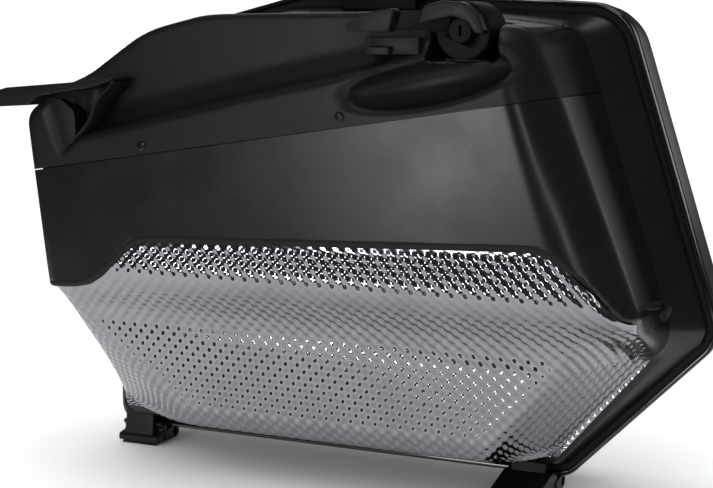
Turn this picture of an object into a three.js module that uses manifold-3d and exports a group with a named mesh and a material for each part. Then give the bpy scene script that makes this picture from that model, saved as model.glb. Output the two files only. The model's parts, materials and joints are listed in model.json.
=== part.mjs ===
// A motorcycle side case (pannier): a deep inner shell that hangs on the motorcycle's carrier, an outer
// lid hinged along the bottom, a sculpted carrier panel with a front hook and a swinging rear claw, and
// an embossed aluminium heat shield over the recess that clears the silencer.
//
// Millimetres. +X is rearwards, +Y is outboard (away from the motorcycle) and +Z is up. Everything is
// drawn in the design frame below, and the whole group is then moved so that the origin is the centre
// of the bounding box's bottom face.

import * as THREE from "three";
import { mergeVertices } from "three/addons/utils/BufferGeometryUtils.js";
import Module from "manifold-3d";

const wasm = await Module();
wasm.setup();

// --------------------------------------------------------------------------------------------
// driving dimensions

const GAP = 0.4; // clearance between touching pieces
const PLAY = 1.2; // clearance behind a cover that is let into the shell
const WALL = 3; // moulded wall thickness

const INBOARD_Y = -110; // flat inboard wall, towards the motorcycle
const CREASE_Y = 14; // where the shell's sides turn outwards into the flange
const FLANGE_Y = 38; // inboard edge of the flange rim
const FLANGE_BACK_Y = 41; // sealing face of the inner shell
const TRIM_Y = 36; // inboard edge of the gloss trim round the lid's rim
const TRIM_W = 3.5; // width of that trim
const LID_Y = 46; // inboard edge of the lid's own moulding
const LID_SPLIT_Y = 119; // seam between the lid's frame and its outer cover
const LID_BACK_Y = 130; // the lid's outboard face
const EDGE_ROUND = 16; // rounding of the inboard edges

// Outlines in X and Z, seen from inboard: [x, z, corner radius], anticlockwise from the front upper
// corner. Every outline has the same ten corners, so that a loft joins them one to one.
const FACE = [
  [-288, 316, 18], [-268, 165, 18], [-190, 38, 26], [140, 38, 26], [240, 172, 20],
  [148, 386, 26], [60, 399, 60], [-127, 397, 60], [-182, 384, 30], [-250, 341, 20],
];
const CREASE = [
  [-288, 300, 30], [-284, 150, 30], [-272, 30, 18], [142, 30, 20], [240, 146, 22],
  [160, 386, 26], [70, 397, 60], [-110, 398, 60], [-180, 384, 40], [-250, 336, 30],
];
const RIM = [
  [-291, 280, 50], [-292, 150, 90], [-292, 15, 18], [150, 15, 20], [274, 141, 30],
  [190, 405, 42], [80, 412, 90], [-100, 415, 90], [-196, 392, 50], [-262, 336, 50],
];
const FLANGE_STEP = 9; // the shell's flange is this much smaller than the lid's rim

// The recess for the silencer, as the shield's outer surface in Y and Z, from its top edge to its lower
// fold.
const SHIELD_PROFILE = [
  [-108.5, 222], [-110.5, 192], [-109, 184], [-104, 176], [-84, 153], [-77, 139], [-63, 62], [-52, 46],
    [-18, 37],
];
const SHIELD_OUTLINE = [
  [-300, 168], [-228, 172], [-206, 186], [-184, 209], [-172, 214], [156, 219], [170, 217], [184, 210],
  [214, 194], [232, 182], [262, 178], [262, 20], [-300, 20],
];
// The recess turns the case's front and rear corners as slanting facets: a point on each, and its
// outward normal.
const FRONT_FACET = { through: [-228, -75, 115], normal: [-0.425, -0.664, -0.615] };
const REAR_FACET = { through: [129, -75, 80], normal: [0.692, -0.369, -0.62] };
const REAR_STEP = { through: [198, -75, 157], normal: [0.167, -0.357, -0.919] }; // roof of the rear facet
const FACET_Y = 16; // the facets end where the flange begins
const SHIELD_T = 1.2;
const SHIELD_AIR = 3; // air gap behind the shield, kept by foam spacers

// The panel's lower seam rises towards the rear, and the shelf line bounds the recess for the carrier's
// rail.
const SEAM = [[-320, 262], [300, 355]];
const PANEL_SEAM_GAP = 0.8;
const RECESS_Y = -85; // face of the panel inside the carrier recess
const RECESS_OUTLINE = [
  [-238, 296], [-208, 301], [-78, 331], [46, 356], [74, 361], [133, 361], [134, 372], [126, 394],
    [108, 430],
  [-330, 430], [-330, 337], [-262, 337], [-196, 343], [-208, 328], [-216, 312],
];
const PANEL_BACK_Y = -74; // how far round the top the panel reaches

const CLAW = { x: 104, z: 384, r: 22 }; // the rear claw's pivot, along Y
const LID_AXIS = { y: 49, z: 8, r: 6 }; // the lid's hinge line, along X
// Low and high X of each hinge, and how far inboard its foot block reaches.
const HINGES = { front: { x0: -284, x1: -240, foot: 16 }, rear: { x0: 98, x1: 142, foot: -40 } };
const HANDLE_AXIS = { y: -13, z: 389 }; // the carry handle's pivot, along X
const LATCH_AXIS = { y: 62, z: 421 }; // the lid latch's pivot, along X
const SCREWS = [[-169, 291.5], [9, 319]]; // X and Z of the panel's screws

// --------------------------------------------------------------------------------------------
// materials

const paint = (color, roughness, metalness = 0) =>
  new THREE.MeshStandardMaterial({ color, roughness, metalness });
const MATERIAL = {
  shell: paint(0x1c1d1f, 0.45),
  panel: paint(0x232425, 0.6),
  gloss: paint(0x0c0d0e, 0.12),
  foil: paint(0xc4c6c8, 0.3, 1),
  rubber: paint(0x101011, 0.85),
  foam: paint(0x2a2a2b, 0.95),
  steel: paint(0x9a9c9f, 0.35, 1),
  dark_steel: paint(0x2b2c2e, 0.45, 1),
};

// --------------------------------------------------------------------------------------------
// solid modelling

// A closed BufferGeometry from a list of 3-D points and triangles.
function geometryOf(points, triangles) {
  const geometry = new THREE.BufferGeometry();
  geometry.setAttribute("position", new THREE.Float32BufferAttribute(points.flat(), 3));
  geometry.setIndex(triangles.flat());
  return geometry;
}

// A manifold-3d solid from any closed three.js geometry, turned the right way out.
function solid(geometry, tolerance = 1e-4) {
  const bare = geometry.clone();
  for (const name of Object.keys(bare.attributes)) if (name !== "position") bare.deleteAttribute(name);
  const merged = mergeVertices(bare, tolerance);
  const vertProperties = merged.attributes.position.array;
  const triVerts = new Uint32Array(merged.index.array);
  const made = new wasm.Manifold(new wasm.Mesh({ numProp: 3, vertProperties, triVerts }));
  if (made.volume() > 0) return made;
  for (let i = 0; i < triVerts.length; i += 3) [triVerts[i + 1], triVerts[i + 2]] = [triVerts[i + 2],
    triVerts[i + 1]];
  return new wasm.Manifold(new wasm.Mesh({ numProp: 3, vertProperties, triVerts }));
}

// A BufferGeometry from a manifold-3d solid.
function geometryFrom(body) {
  const mesh = body.getMesh();
  const geometry = new THREE.BufferGeometry();
  geometry.setAttribute("position", new THREE.BufferAttribute(mesh.vertProperties, 3));
  geometry.setIndex(new THREE.BufferAttribute(mesh.triVerts, 1));
  geometry.computeVertexNormals();
  return geometry;
}

// The points of an outline whose corners are rounded, with the same number of points for each corner.
function rounded(corners, steps = 4) {
  const points = [];
  corners.forEach(([x, z, r], i) => {
    const before = corners[(i + corners.length - 1) % corners.length];
    const after = corners[(i + 1) % corners.length];
    const here = new THREE.Vector2(x, z);
    const a = new THREE.Vector2(before[0], before[1]).sub(here);
    const b = new THREE.Vector2(after[0], after[1]).sub(here);
    const half = Math.acos(THREE.MathUtils.clamp(a.clone().normalize().dot(b.clone().normalize()), -1,
      1)) / 2;
    const reach = Math.min(r / Math.tan(half), a.length() * 0.48, b.length() * 0.48);
    const start = here.clone().addScaledVector(a.normalize(), reach);
    const end = here.clone().addScaledVector(b.normalize(), reach);
    const arc = new THREE.QuadraticBezierCurve(start, here, end);
    arc.getPoints(steps).forEach((p) => points.push([p.x, p.y]));
  });
  return points;
}

// An outline moved inwards by a distance, edge by edge.
function inset(corners, distance) {
  const edges = corners.map(([x, z], i) => {
    const [nx, nz] = corners[(i + 1) % corners.length];
    const along = new THREE.Vector2(nx - x, nz - z).normalize();
    const inward = new THREE.Vector2(-along.y, along.x); // the left of an anticlockwise outline
    return { p: new THREE.Vector2(x, z).addScaledVector(inward, distance), along };
  });
  return corners.map(([, , r], i) => {
    const one = edges[(i + corners.length - 1) % corners.length];
    const two = edges[i];
    const gap = two.p.clone().sub(one.p);
    const cross = one.along.cross(two.along);
    const t = gap.cross(two.along) / cross;
    return [one.p.x + one.along.x * t, one.p.y + one.along.y * t, Math.max(r - distance, 2)];
  });
}

// A solid through a list of sections that all have the same number of points.
function loft(sections) {
  const count = sections[0].length;
  const points = sections.flat();
  const triangles = [];
  for (let s = 0; s + 1 < sections.length; s++) {
    for (let i = 0; i < count; i++) {
      const j = (i + 1) % count;
      const [a, b, c, d] = [s * count + i, s * count + j, (s + 1) * count + j, (s + 1) * count + i];
      triangles.push([a, b, c], [a, c, d]);
    }
  }
  const last = (sections.length - 1) * count;
  const spread = (k) => Math.max(...sections[0].map((p) => p[k])) - Math.min(...sections[0].map((p) =>
    p[k]));
  const [u, v] = [0, 1, 2].sort((a, b) => spread(b) - spread(a)).slice(0, 2);
  for (const offset of [0, last]) {
    const contour = points.slice(offset, offset + count).map((p) => new THREE.Vector2(p[u], p[v]));
    const turned = THREE.ShapeUtils.isClockWise(contour) === (offset === 0);
    const faces = THREE.ShapeUtils.triangulateShape(contour, []);
    faces.forEach(([a, b, c]) => {
      triangles.push(turned ? [offset + a, offset + b, offset + c] : [offset + a, offset + c, offset + b]);
    });
  }
  return solid(geometryOf(points, triangles));
}

const atY = (outline, y) => outline.map(([x, z]) => [x, y, z]);
const plateY = (outline, y0, y1) => loft([atY(outline, y0), atY(outline, y1)]);
const prismY = (corners, y0, y1, steps = 4) => plateY(rounded(corners, steps), y0, y1);
const barX = (profile, x0, x1) =>
  loft([profile.map(([y, z]) => [x0, y, z]), profile.map(([y, z]) => [x1, y, z])]);
const box = (x0, x1, y0, y1, z0, z1) =>
  solid(new THREE.BoxGeometry(x1 - x0, y1 - y0, z1 - z0).translate((x0 + x1) / 2, (y0 + y1) / 2,
    (z0 + z1) / 2));

// A cylinder between two ends on one of the axes.
function rod(axis, r, from, to, at, sides = 20) {
  const geometry = new THREE.CylinderGeometry(r, r, to - from, sides).translate(0, (from + to) / 2, 0);
  if (axis === "x") geometry.rotateZ(-Math.PI / 2);
  if (axis === "z") geometry.rotateX(Math.PI / 2);
  return solid(geometry.translate(...at));
}

// A solid swept a little way along every axis, to cut its neighbour clear of it.
function loosened(body, gap = GAP) {
  const steps = [[gap, 0, 0], [-gap, 0, 0], [0, gap, 0], [0, -gap, 0], [0, 0, gap], [0, 0, -gap]];
  return steps.reduce((sum, step) => sum.add(body.translate(step)), body);
}

const group = new THREE.Group();

// Adds a solid to the group as a named mesh, without the crumbs that cutting along a shared face can
// leave.
function add(name, body, material) {
  let kept = body;
  for (let pass = 0; pass < 4; pass++) {
    const pieces = kept.simplify(0.02).decompose().sort((a, b) => b.volume() - a.volume());
    kept = solid(geometryFrom(pieces[0]), 1e-3);
    if (kept.decompose().length === 1) break;
  }
  const mesh = new THREE.Mesh(geometryFrom(kept), MATERIAL[material]);
  mesh.name = name;
  group.add(mesh);
  return kept;
}

// --------------------------------------------------------------------------------------------
// shared surfaces

// The case's outer envelope on the inboard side, moved inwards by a distance all over.
function envelope(distance, y0 = INBOARD_Y + distance, y1 = CREASE_Y) {
  const sections = [];
  const steps = 3;
  for (let i = 0; i <= steps; i++) {
    const turn = (i / steps) * (Math.PI / 2);
    const pull = EDGE_ROUND * (1 - Math.sin(turn));
    const y = y0 + EDGE_ROUND * (1 - Math.cos(turn));
    const share = (y - INBOARD_Y) / (CREASE_Y - INBOARD_Y);
    sections.push(atY(rounded(blend(inset(FACE, pull + distance), inset(CREASE, pull + distance),
      share)), y));
  }
  sections.push(atY(rounded(inset(CREASE, distance)), y1));
  return sections;
}

function blend(one, two, share) {
  return one.map((c, i) => c.map((v, k) => v + (two[i][k] - v) * share));
}

// Everything on the outer side of a plane that is moved inwards by a distance.
function beyond({ through, normal }, distance) {
  const out = new THREE.Vector3(...normal).normalize();
  const at = new THREE.Vector3(...through).addScaledVector(out, -distance);
  const turn = new THREE.Quaternion().setFromUnitVectors(new THREE.Vector3(0, 0, 1), out);
  const block = new THREE.BoxGeometry(1200, 1200, 400).translate(0, 0, 200).applyQuaternion(turn);
  return solid(block.translate(at.x, at.y, at.z));
}

// What the two corner facets take off the envelope.
function facetCuts(distance) {
  const rear = beyond(REAR_FACET, distance).intersect(beyond(REAR_STEP, distance));
  return beyond(FRONT_FACET, distance).add(rear).intersect(box(-400, 400, -200, FACET_Y + distance, -50,
    500));
}

// Everything outboard of the recess surface, moved outboard by a distance.
function behindShield(distance) {
  const profile = SHIELD_PROFILE.map(([y, z]) => [y + distance * 0.8, z + distance * 0.6]);
  const [topY] = profile[0];
  const section = [[topY - 10, 460], [topY, profile[0][1]], ...profile.slice(1), [-10, 20], [200, 20],
    [200, 460]];
  return barX(section, -400, 400).subtract(facetCuts(distance));
}

const flange = inset(RIM, FLANGE_STEP);
const seamAt = (x) => SEAM[0][1]
  + ((x - SEAM[0][0]) * (SEAM[1][1] - SEAM[0][1])) / (SEAM[1][0] - SEAM[0][0]);
const aboveSeam = (raise, y0, y1) =>
  plateY([[-340, seamAt(-340) + raise], [340, seamAt(340) + raise], [340, 480], [-340, 480]], y0, y1);

// --------------------------------------------------------------------------------------------
// shell's big forms

const flangeSections = [
  atY(rounded(flange), FLANGE_Y),
  atY(rounded(flange), FLANGE_BACK_Y),
];
const outerShell = loft([...envelope(0), ...flangeSections]).intersect(behindShield(0));
const cavitySections = [...envelope(WALL), atY(rounded(inset(flange, 14)), FLANGE_Y - 2),
  atY(rounded(inset(flange, 14)), 60)];
const cavity = loft(cavitySections).intersect(behindShield(WALL + SHIELD_AIR + SHIELD_T + 1));

// The heat shield lies on a shallow step in the shell, and covers its lower front and rear bevels too.
const shieldZone = plateY(SHIELD_OUTLINE, -130,
  -22).add(plateY(SHIELD_OUTLINE, -23, -4).intersect(box(-400, 400, -30, 0, 60, 300)));
const shieldZoneWide = plateY(SHIELD_OUTLINE.map(([x, z]) => [x, z > 100 ? z + 3 : z]), -130, -2);
const shieldOuter = loft(envelope(0)).intersect(behindShield(0));
const shieldInner = loft(envelope(SHIELD_T)).intersect(behindShield(SHIELD_T));
const shieldSeat = loft(envelope(SHIELD_T + SHIELD_AIR)).intersect(behindShield(SHIELD_T + SHIELD_AIR));
const shieldStep = shieldOuter.subtract(shieldSeat).intersect(shieldZoneWide);

// The carrier panel is the shell's upper inboard corner, and the shell is stepped in behind it.
const PANEL_T = 3;
const panelPlan = [
  [-340, -130], [340, -130], [340, CREASE_Y - 0.5], [152, CREASE_Y - 0.5], [152, PANEL_BACK_Y],
    [-340, PANEL_BACK_Y],
];
const inPlan = (grow) => {
  const plan = inset(panelPlan.map((c) => [...c, 0]), -grow);
  return loft([plan.map(([x, y]) => [x, y, 200]), plan.map(([x, y]) => [x, y, 480])]);
};
const panelZone = aboveSeam(0, -130, CREASE_Y - 0.5).intersect(inPlan(0));
const panelOuter = loft(envelope(0));
const panelInner = loft(envelope(PANEL_T, INBOARD_Y + PANEL_T, 30));
const recessCut = (grow) => {
  const outline = inset(RECESS_OUTLINE.map((c) => [...c, 0]), -grow).map(([x, z]) => [x, z]);
  return plateY(outline, -140, RECESS_Y + grow);
};

// The scoop for the fingers under the claw, and the pocket that the claw swings in.
const SCOOP = { x: 112, z: 345, halfX: 62, halfZ: 15, depth: 20, tilt: -0.22 };
const scoop = (grow) => solid(new THREE.SphereGeometry(1, 24, 12)
  .scale(SCOOP.halfX + grow, SCOOP.depth + grow, SCOOP.halfZ + grow)
  .rotateY(SCOOP.tilt).translate(SCOOP.x, INBOARD_Y, SCOOP.z));
const POCKET = [[72, 360], [133, 360], [134, 374], [130, 392], [124, 430], [72, 430]];
const POCKET_Y = -56;
const pocket = (grow) => plateY(inset(POCKET.map((c) => [...c, 0]), -grow).map(([x, z]) => [x, z]),
  -140, POCKET_Y + grow);

// The front hook: a thick plate on top of the panel's front block, with a lip at its tip and a stud
// beneath it.
const hookProfile = [[-346, 336], [-346, 322], [-334, 322], [-330, 328], [-262, 328], [-196, 334],
  [-196, 343], [-262, 339]];
const hookBody = (grow) => plateY(inset(hookProfile.map((c) => [...c, 0]), -grow).map(([x, z]) => [x, z]),
  -116 - grow, RECESS_Y - 0.6 + grow);
const hookStud = (grow) => rod("z", 8 + grow, 304 - grow, 333, [-250, -107, 0]);

// The plate of the carry handle closes the top of the shell, and its tub is let into the case.
const TOP_PLATE = { x0: -83, x1: 146, y0: PANEL_BACK_Y + 1, y1: 35, t: 4 };
const HAND_HOLE = { x0: -62, x1: 14, y0: -50, y1: -5, floor: 364 };
const topZone = (grow) => box(TOP_PLATE.x0 - grow, TOP_PLATE.x1 + grow, TOP_PLATE.y0 - grow,
  TOP_PLATE.y1 + grow, 380, 450);
const handHole = (grow, top = 450) =>
  box(HAND_HOLE.x0 - grow, HAND_HOLE.x1 + grow, HAND_HOLE.y0 - grow, HAND_HOLE.y1 + grow,
  HAND_HOLE.floor - grow, top);
const fullShell = (distance) => loft([
  ...envelope(distance, INBOARD_Y + distance, CREASE_Y),
    atY(rounded(inset(RIM, FLANGE_STEP + distance)), FLANGE_Y),
]);
const topLayer = (depth) => fullShell(0).subtract(fullShell(depth));

const tub = handHole(3, 408).subtract(handHole(0)).intersect(fullShell(0));
const PIVOT_R = 3;
const holeAlongX = rod("x", PIVOT_R + 0.05, HAND_HOLE.x0 - 5, HAND_HOLE.x1 + 5,
  [0, HANDLE_AXIS.y, HANDLE_AXIS.z], 20);
const topPlate = topLayer(TOP_PLATE.t).intersect(topZone(0)).add(tub)
  .subtract(handHole(0)).subtract(holeAlongX).subtract(pocket(PANEL_T + GAP));

// --------------------------------------------------------------------------------------------
// panel and hook

const sunk = recessCut(PANEL_T)
  .add(scoop(PANEL_T))
  .add(pocket(PANEL_T))
  .add(hookBody(PANEL_T))
  .add(hookStud(PANEL_T));
const backing = panelOuter.intersect(panelZone).intersect(sunk);
const screwHole = ([x, z]) => rod("y", 4.9, -120, -108, [x, 0, z], 16);
const screwAt = (y) => SCREWS.map(([x, z]) => screwHole([x, z]).translate([0, y, 0]));
let panel = panelOuter.subtract(panelInner).intersect(panelZone)
  .add(backing)
  .subtract(recessCut(0))
  .subtract(scoop(0))
  .subtract(pocket(0))
  .subtract(hookBody(GAP))
  .subtract(hookStud(GAP));
for (const hole of screwAt(0)) panel = panel.subtract(hole);
add("carrier_panel", panel, "panel");
add("front_hook", hookBody(0).add(hookStud(0)), "panel");

// A pan-head screw with a cross recess, its head towards the motorcycle.
SCREWS.forEach(([x, z], i) => {
  const head = rod("y", 4.4, -111.2, -108.4, [x, 0, z], 16);
  const slot = box(x - 3, x + 3, -112, -110.2, z - 0.6, z
    + 0.6).add(box(x - 0.6, x + 0.6, -112, -110.2, z - 3, z + 3));
  add(`panel_screw_${i + 1}`, head.subtract(slot), "dark_steel");
});

// --------------------------------------------------------------------------------------------
// inner shell

const heatShield = shieldOuter.subtract(shieldInner).intersect(shieldZone);
const panelSeat = PANEL_T + PLAY;
const BEHIND = WALL + panelSeat;
const sideLayer = loft(envelope(0)).subtract(loft(envelope(SHIELD_T + SHIELD_AIR + WALL)));
const roomInside = cavity
  .subtract(sideLayer.intersect(loosened(shieldZoneWide, 3)))
  .subtract(recessCut(BEHIND))
  .subtract(scoop(BEHIND))
  .subtract(pocket(BEHIND))
  .subtract(hookBody(BEHIND))
  .subtract(hookStud(BEHIND))
  .subtract(handHole(3 + GAP + WALL))
  .subtract(fullShell(0).subtract(fullShell(TOP_PLATE.t + PLAY + WALL)).intersect(topZone(WALL)));
const innerShell = outerShell
  .subtract(shieldStep)
  .subtract(panelOuter.subtract(loft(envelope(panelSeat, INBOARD_Y + panelSeat, 30)))
    .intersect(aboveSeam(-PANEL_SEAM_GAP, -130, CREASE_Y)).intersect(inPlan(0.5)))
  .subtract(recessCut(panelSeat).intersect(inPlan(0.5)))
  .subtract(scoop(panelSeat))
  .subtract(pocket(panelSeat))
  .subtract(hookBody(panelSeat))
  .subtract(hookStud(panelSeat))
  .subtract(handHole(3 + GAP))
  .subtract(topLayer(TOP_PLATE.t + PLAY).intersect(topZone(GAP)))
  .subtract(loosened(topPlate))
  .subtract(loosened(panel))
  .subtract(loosened(heatShield))
  .subtract(roomInside);
add("inner_shell", innerShell, "shell");

// --------------------------------------------------------------------------------------------
// the claw

// The hub turns on a pin along Y, and its arm comes down over the carrier's rail.
const HUB = { y0: -104, y1: -62 };
const armProfile = [[22, 385], [30, 381], [86, 381], [104, 364], [110, 405], [86, 401], [34, 398],
  [20, 393]];
const hub = rod("y", CLAW.r, HUB.y0, HUB.y1, [CLAW.x, 0, CLAW.z], 28)
  .add(plateY(armProfile, -112, -96))
  .subtract(rod("y", 9.4, HUB.y0 - 20, -80, [CLAW.x, 0, CLAW.z], 24))
  .subtract(rod("y", 4.05, -90, HUB.y1 + 2, [CLAW.x, 0, CLAW.z], 20));
add("claw", hub, "dark_steel");
add("claw_pin", rod("y", 4, -79, POCKET_Y - 0.2, [CLAW.x, 0, CLAW.z], 20), "steel");
const barrel = rod("y", 9, -105, -80.4, [CLAW.x, 0, CLAW.z], 24);
add("claw_lock", barrel.subtract(box(CLAW.x - 0.9, CLAW.x + 0.9, -106, -98, CLAW.z - 4, CLAW.z + 4)),
  "steel");

// The release slide runs along the recess below the arm and frees the claw.
add("release_slide", box(28, 68, -96, -88, 366, 379).add(box(28, 46, -102, -95, 366, 372)), "dark_steel");
add("slide_guide", box(20, 70, -87.6, RECESS_Y - 0.3, 363.5, 380), "panel");

// --------------------------------------------------------------------------------------------
// the top plate

add("top_plate", topPlate, "panel");

const grip = { x0: HAND_HOLE.x0 + 1, x1: HAND_HOLE.x1 - 1, y: -41, r: 6.5 };
const arm = (x) => box(x, x + 8, -44, -8, 384, 394);
const handle = rod("x", grip.r, grip.x0, grip.x1, [0, grip.y, HANDLE_AXIS.z], 20)
  .add(arm(grip.x0)).add(arm(grip.x1 - 8))
  .subtract(rod("x", PIVOT_R + 0.05, HAND_HOLE.x0 - 5, HAND_HOLE.x1 + 5,
    [0, HANDLE_AXIS.y, HANDLE_AXIS.z], 20));
add("carry_handle", handle, "rubber");
add("handle_pin_front", rod("x", PIVOT_R, grip.x0 - 3.6, grip.x0 + 7, [0, HANDLE_AXIS.y, HANDLE_AXIS.z],
  20), "steel");
add("handle_pin_rear", rod("x", PIVOT_R, grip.x1 - 7, grip.x1 + 3.6, [0, HANDLE_AXIS.y, HANDLE_AXIS.z],
  20), "steel");

// --------------------------------------------------------------------------------------------
// heat shield

add("heat_shield", heatShield, "foil");
const padLayer = loft(envelope(SHIELD_T + GAP)).intersect(behindShield(SHIELD_T + GAP))
  .subtract(loft(envelope(SHIELD_T + SHIELD_AIR - GAP)).intersect(behindShield(SHIELD_T
    + SHIELD_AIR - GAP)));
const pads = { upper: [-150, 150, 195, 207], lower_front: [-120, -60, 80, 120],
  lower_rear: [30, 90, 80, 120] };
for (const [name, [x0, x1, z0, z1]] of Object.entries(pads)) {
  add(`shield_pad_${name}`, padLayer.intersect(box(x0, x1, -130, -50, z0, z1)), "foam");
}

// --------------------------------------------------------------------------------------------
// the lid

const rimRing = (outer, inner, y0, y1) =>
  prismY(inset(RIM, outer), y0, y1).subtract(prismY(inset(RIM, inner), y0 - 5, y1 + 5));
const lidSections = (distance) => {
  const shape = (pull) => rounded(inset(RIM, distance + pull));
  const back = LID_BACK_Y - distance;
  return [
    atY(shape(0), LID_Y), atY(shape(2), LID_Y + 30), atY(shape(8), back - 22), atY(shape(17), back - 8),
      atY(shape(32), back),
  ];
};
const lidRoom = [atY(rounded(inset(RIM, WALL)), LID_Y - 10), ...lidSections(WALL)];
const lid = loft(lidSections(0)).subtract(loft(lidRoom));
add("lid_shell", lid.intersect(box(-400, 400, 0, LID_SPLIT_Y - GAP, -50, 500)), "shell");
add("lid_cover", lid.intersect(box(-400, 400, LID_SPLIT_Y, 200, -50, 500)), "gloss");
const trim = rimRing(0, TRIM_W, TRIM_Y, LID_Y - GAP);
add("lid_trim", trim, "gloss");
add("lid_seal", rimRing(TRIM_W + GAP, 14, FLANGE_BACK_Y + GAP, LID_Y - GAP), "rubber");

// The lid latch: a lever on the lid whose lip catches a striker on top of the shell.
const LATCH = { x0: -60, x1: 20, tip: 21 };
const earsAt = (x0, x1) => box(x0, x1, 55, 69, 414.8,
  426).subtract(rod("x", 2.55, x0 - 1, x1 + 1, [0, LATCH_AXIS.y, LATCH_AXIS.z]));
add("latch_base", earsAt(LATCH.x0 - 6, LATCH.x0 - GAP).add(earsAt(LATCH.x1 + GAP, LATCH.x1 + 6))
  .add(box(LATCH.x0 - 3, LATCH.x1 + 3, 55, 69, 414.8, 416)), "panel");
add("latch_pin", rod("x", 2.5, LATCH.x0 - 5.5, LATCH.x1 + 5.5, [0, LATCH_AXIS.y, LATCH_AXIS.z]), "steel");
const lever = box(LATCH.x0, LATCH.x1, LATCH.tip, 62, 417, 421)
  .add(box(LATCH.x0 + 8, LATCH.x1 - 8, LATCH.tip, LATCH.tip + 4.4, 412.8, 419))
  .add(rod("x", 4.5, LATCH.x0, LATCH.x1, [0, LATCH_AXIS.y, LATCH_AXIS.z]))
  .subtract(rod("x", 2.55, LATCH.x0 - 1, LATCH.x1 + 1, [0, LATCH_AXIS.y, LATCH_AXIS.z]));
add("latch_lever", lever, "panel");
add("latch_striker", box(LATCH.x0 + 6, LATCH.x1 - 6, 26, 31, 396, 412).subtract(loosened(outerShell)),
  "dark_steel");

// The bottom hinges: a foot block with two knuckles on the shell, a leaf with one on the lid, and a
// pin.
const EAR = 12;
for (const [name, { x0, x1, foot }] of Object.entries(HINGES)) {
  const { y, z, r } = LID_AXIS;
  const knuckle = (a, b) => rod("x", r, a, b, [0, y, z], 20).add(box(a, b, 30, y, z - r, z + 4));
  const bore = rod("x", 3.05, x0 - 5, x1 + 5, [0, y, z], 20);
  const block = box(x0, x1, foot, 34, 2, 21).add(box(x0 + 4, x1 - 4, foot, 18, 2, 60));
  const base = block.subtract(loosened(outerShell)).add(knuckle(x0, x0 + EAR)).add(knuckle(x1 - EAR, x1));
  add(`hinge_base_${name}`, base.subtract(bore), "panel");
  const tab = box(x0 + EAR + GAP, x1 - EAR - GAP, y, y + 30, z + 1, z + 6.5);
  const leaf = rod("x", r, x0 + EAR + GAP, x1 - EAR - GAP, [0, y, z], 20).add(tab).subtract(bore);
  add(`hinge_leaf_${name}`, leaf, "dark_steel");
  add(`hinge_pin_${name}`, rod("x", 3, x0, x1, [0, y, z], 20), "steel");
  add(`foot_${name}`, box(x0 + 4, x1 - 4, foot + 2, 28, 0, 1.7), "rubber");
}

// The origin is the centre of the bounding box's bottom face.
const bounds = new THREE.Box3().setFromObject(group);
const middle = bounds.getCenter(new THREE.Vector3());
group.position.set(-middle.x, -middle.y, -bounds.min.z);

export default group;
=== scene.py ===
"""A motorcycle side case, seen from the side that hangs on the motorcycle, dressed over its CAD frame.

The moulded walls are cut from one rounded form, so that the inner shell, the carrier panel and the recess
for the silencer meet in clean seams. The heat shield is a real embossed sheet.
"""

import json
import logging
import math
from dataclasses import dataclass
from enum import Enum
from itertools import product
from typing import Callable, Optional, Sequence

import bmesh
import bpy
import numpy as np
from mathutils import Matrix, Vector


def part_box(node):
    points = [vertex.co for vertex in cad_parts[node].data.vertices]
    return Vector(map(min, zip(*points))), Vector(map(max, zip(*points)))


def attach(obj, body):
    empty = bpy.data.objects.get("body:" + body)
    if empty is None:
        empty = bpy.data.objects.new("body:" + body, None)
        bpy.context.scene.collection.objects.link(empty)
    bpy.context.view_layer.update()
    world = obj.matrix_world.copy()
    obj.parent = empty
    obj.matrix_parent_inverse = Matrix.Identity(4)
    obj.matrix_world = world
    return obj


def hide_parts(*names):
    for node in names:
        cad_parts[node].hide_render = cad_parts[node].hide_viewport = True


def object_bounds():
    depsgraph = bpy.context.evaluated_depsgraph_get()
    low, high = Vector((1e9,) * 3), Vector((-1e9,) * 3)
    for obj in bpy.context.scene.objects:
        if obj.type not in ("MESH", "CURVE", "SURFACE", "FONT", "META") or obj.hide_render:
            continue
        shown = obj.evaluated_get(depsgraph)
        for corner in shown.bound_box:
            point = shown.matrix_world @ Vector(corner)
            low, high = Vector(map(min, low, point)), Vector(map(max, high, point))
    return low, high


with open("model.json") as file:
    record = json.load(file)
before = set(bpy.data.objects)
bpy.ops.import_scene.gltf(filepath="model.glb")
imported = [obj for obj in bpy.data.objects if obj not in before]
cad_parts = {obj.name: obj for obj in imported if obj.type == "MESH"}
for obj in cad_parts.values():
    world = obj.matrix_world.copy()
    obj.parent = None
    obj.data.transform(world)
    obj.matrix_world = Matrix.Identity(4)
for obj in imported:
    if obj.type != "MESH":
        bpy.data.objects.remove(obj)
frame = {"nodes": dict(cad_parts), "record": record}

LOG = logging.getLogger("side_case")
MM = 0.001
CAD_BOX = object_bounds()

Points = Sequence[Sequence[float]]


# ------------------------------------------------------------------------------------------------
# the design frame


@dataclass(frozen=True)
class Datum:
    """The drawing's own origin, which every outline below is measured from, in the row frame.

    The carrier hook's tip is drawn at X -346 and the hook's face at Y -116, in millimetres.
    """

    hook_tip_x: float = -346.0
    hook_face_y: float = -116.0

    def origin(self) -> np.ndarray:
        """The drawing's origin in the row frame, in metres."""
        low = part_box("front_hook")[0]
        return np.array([low.x - self.hook_tip_x * MM, low.y - self.hook_face_y * MM, 0.0])


ORIGIN = Datum().origin()


def placed(points: np.ndarray) -> np.ndarray:
    """Drawing millimetres turned to metres in the row frame.

    Args:
        points: an array whose last axis is X, Y, Z in drawing millimetres.
    Returns:
        The same points in metres.
    """
    return np.asarray(points, float) * MM + ORIGIN


# ------------------------------------------------------------------------------------------------
# outlines and rounded fields


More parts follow.
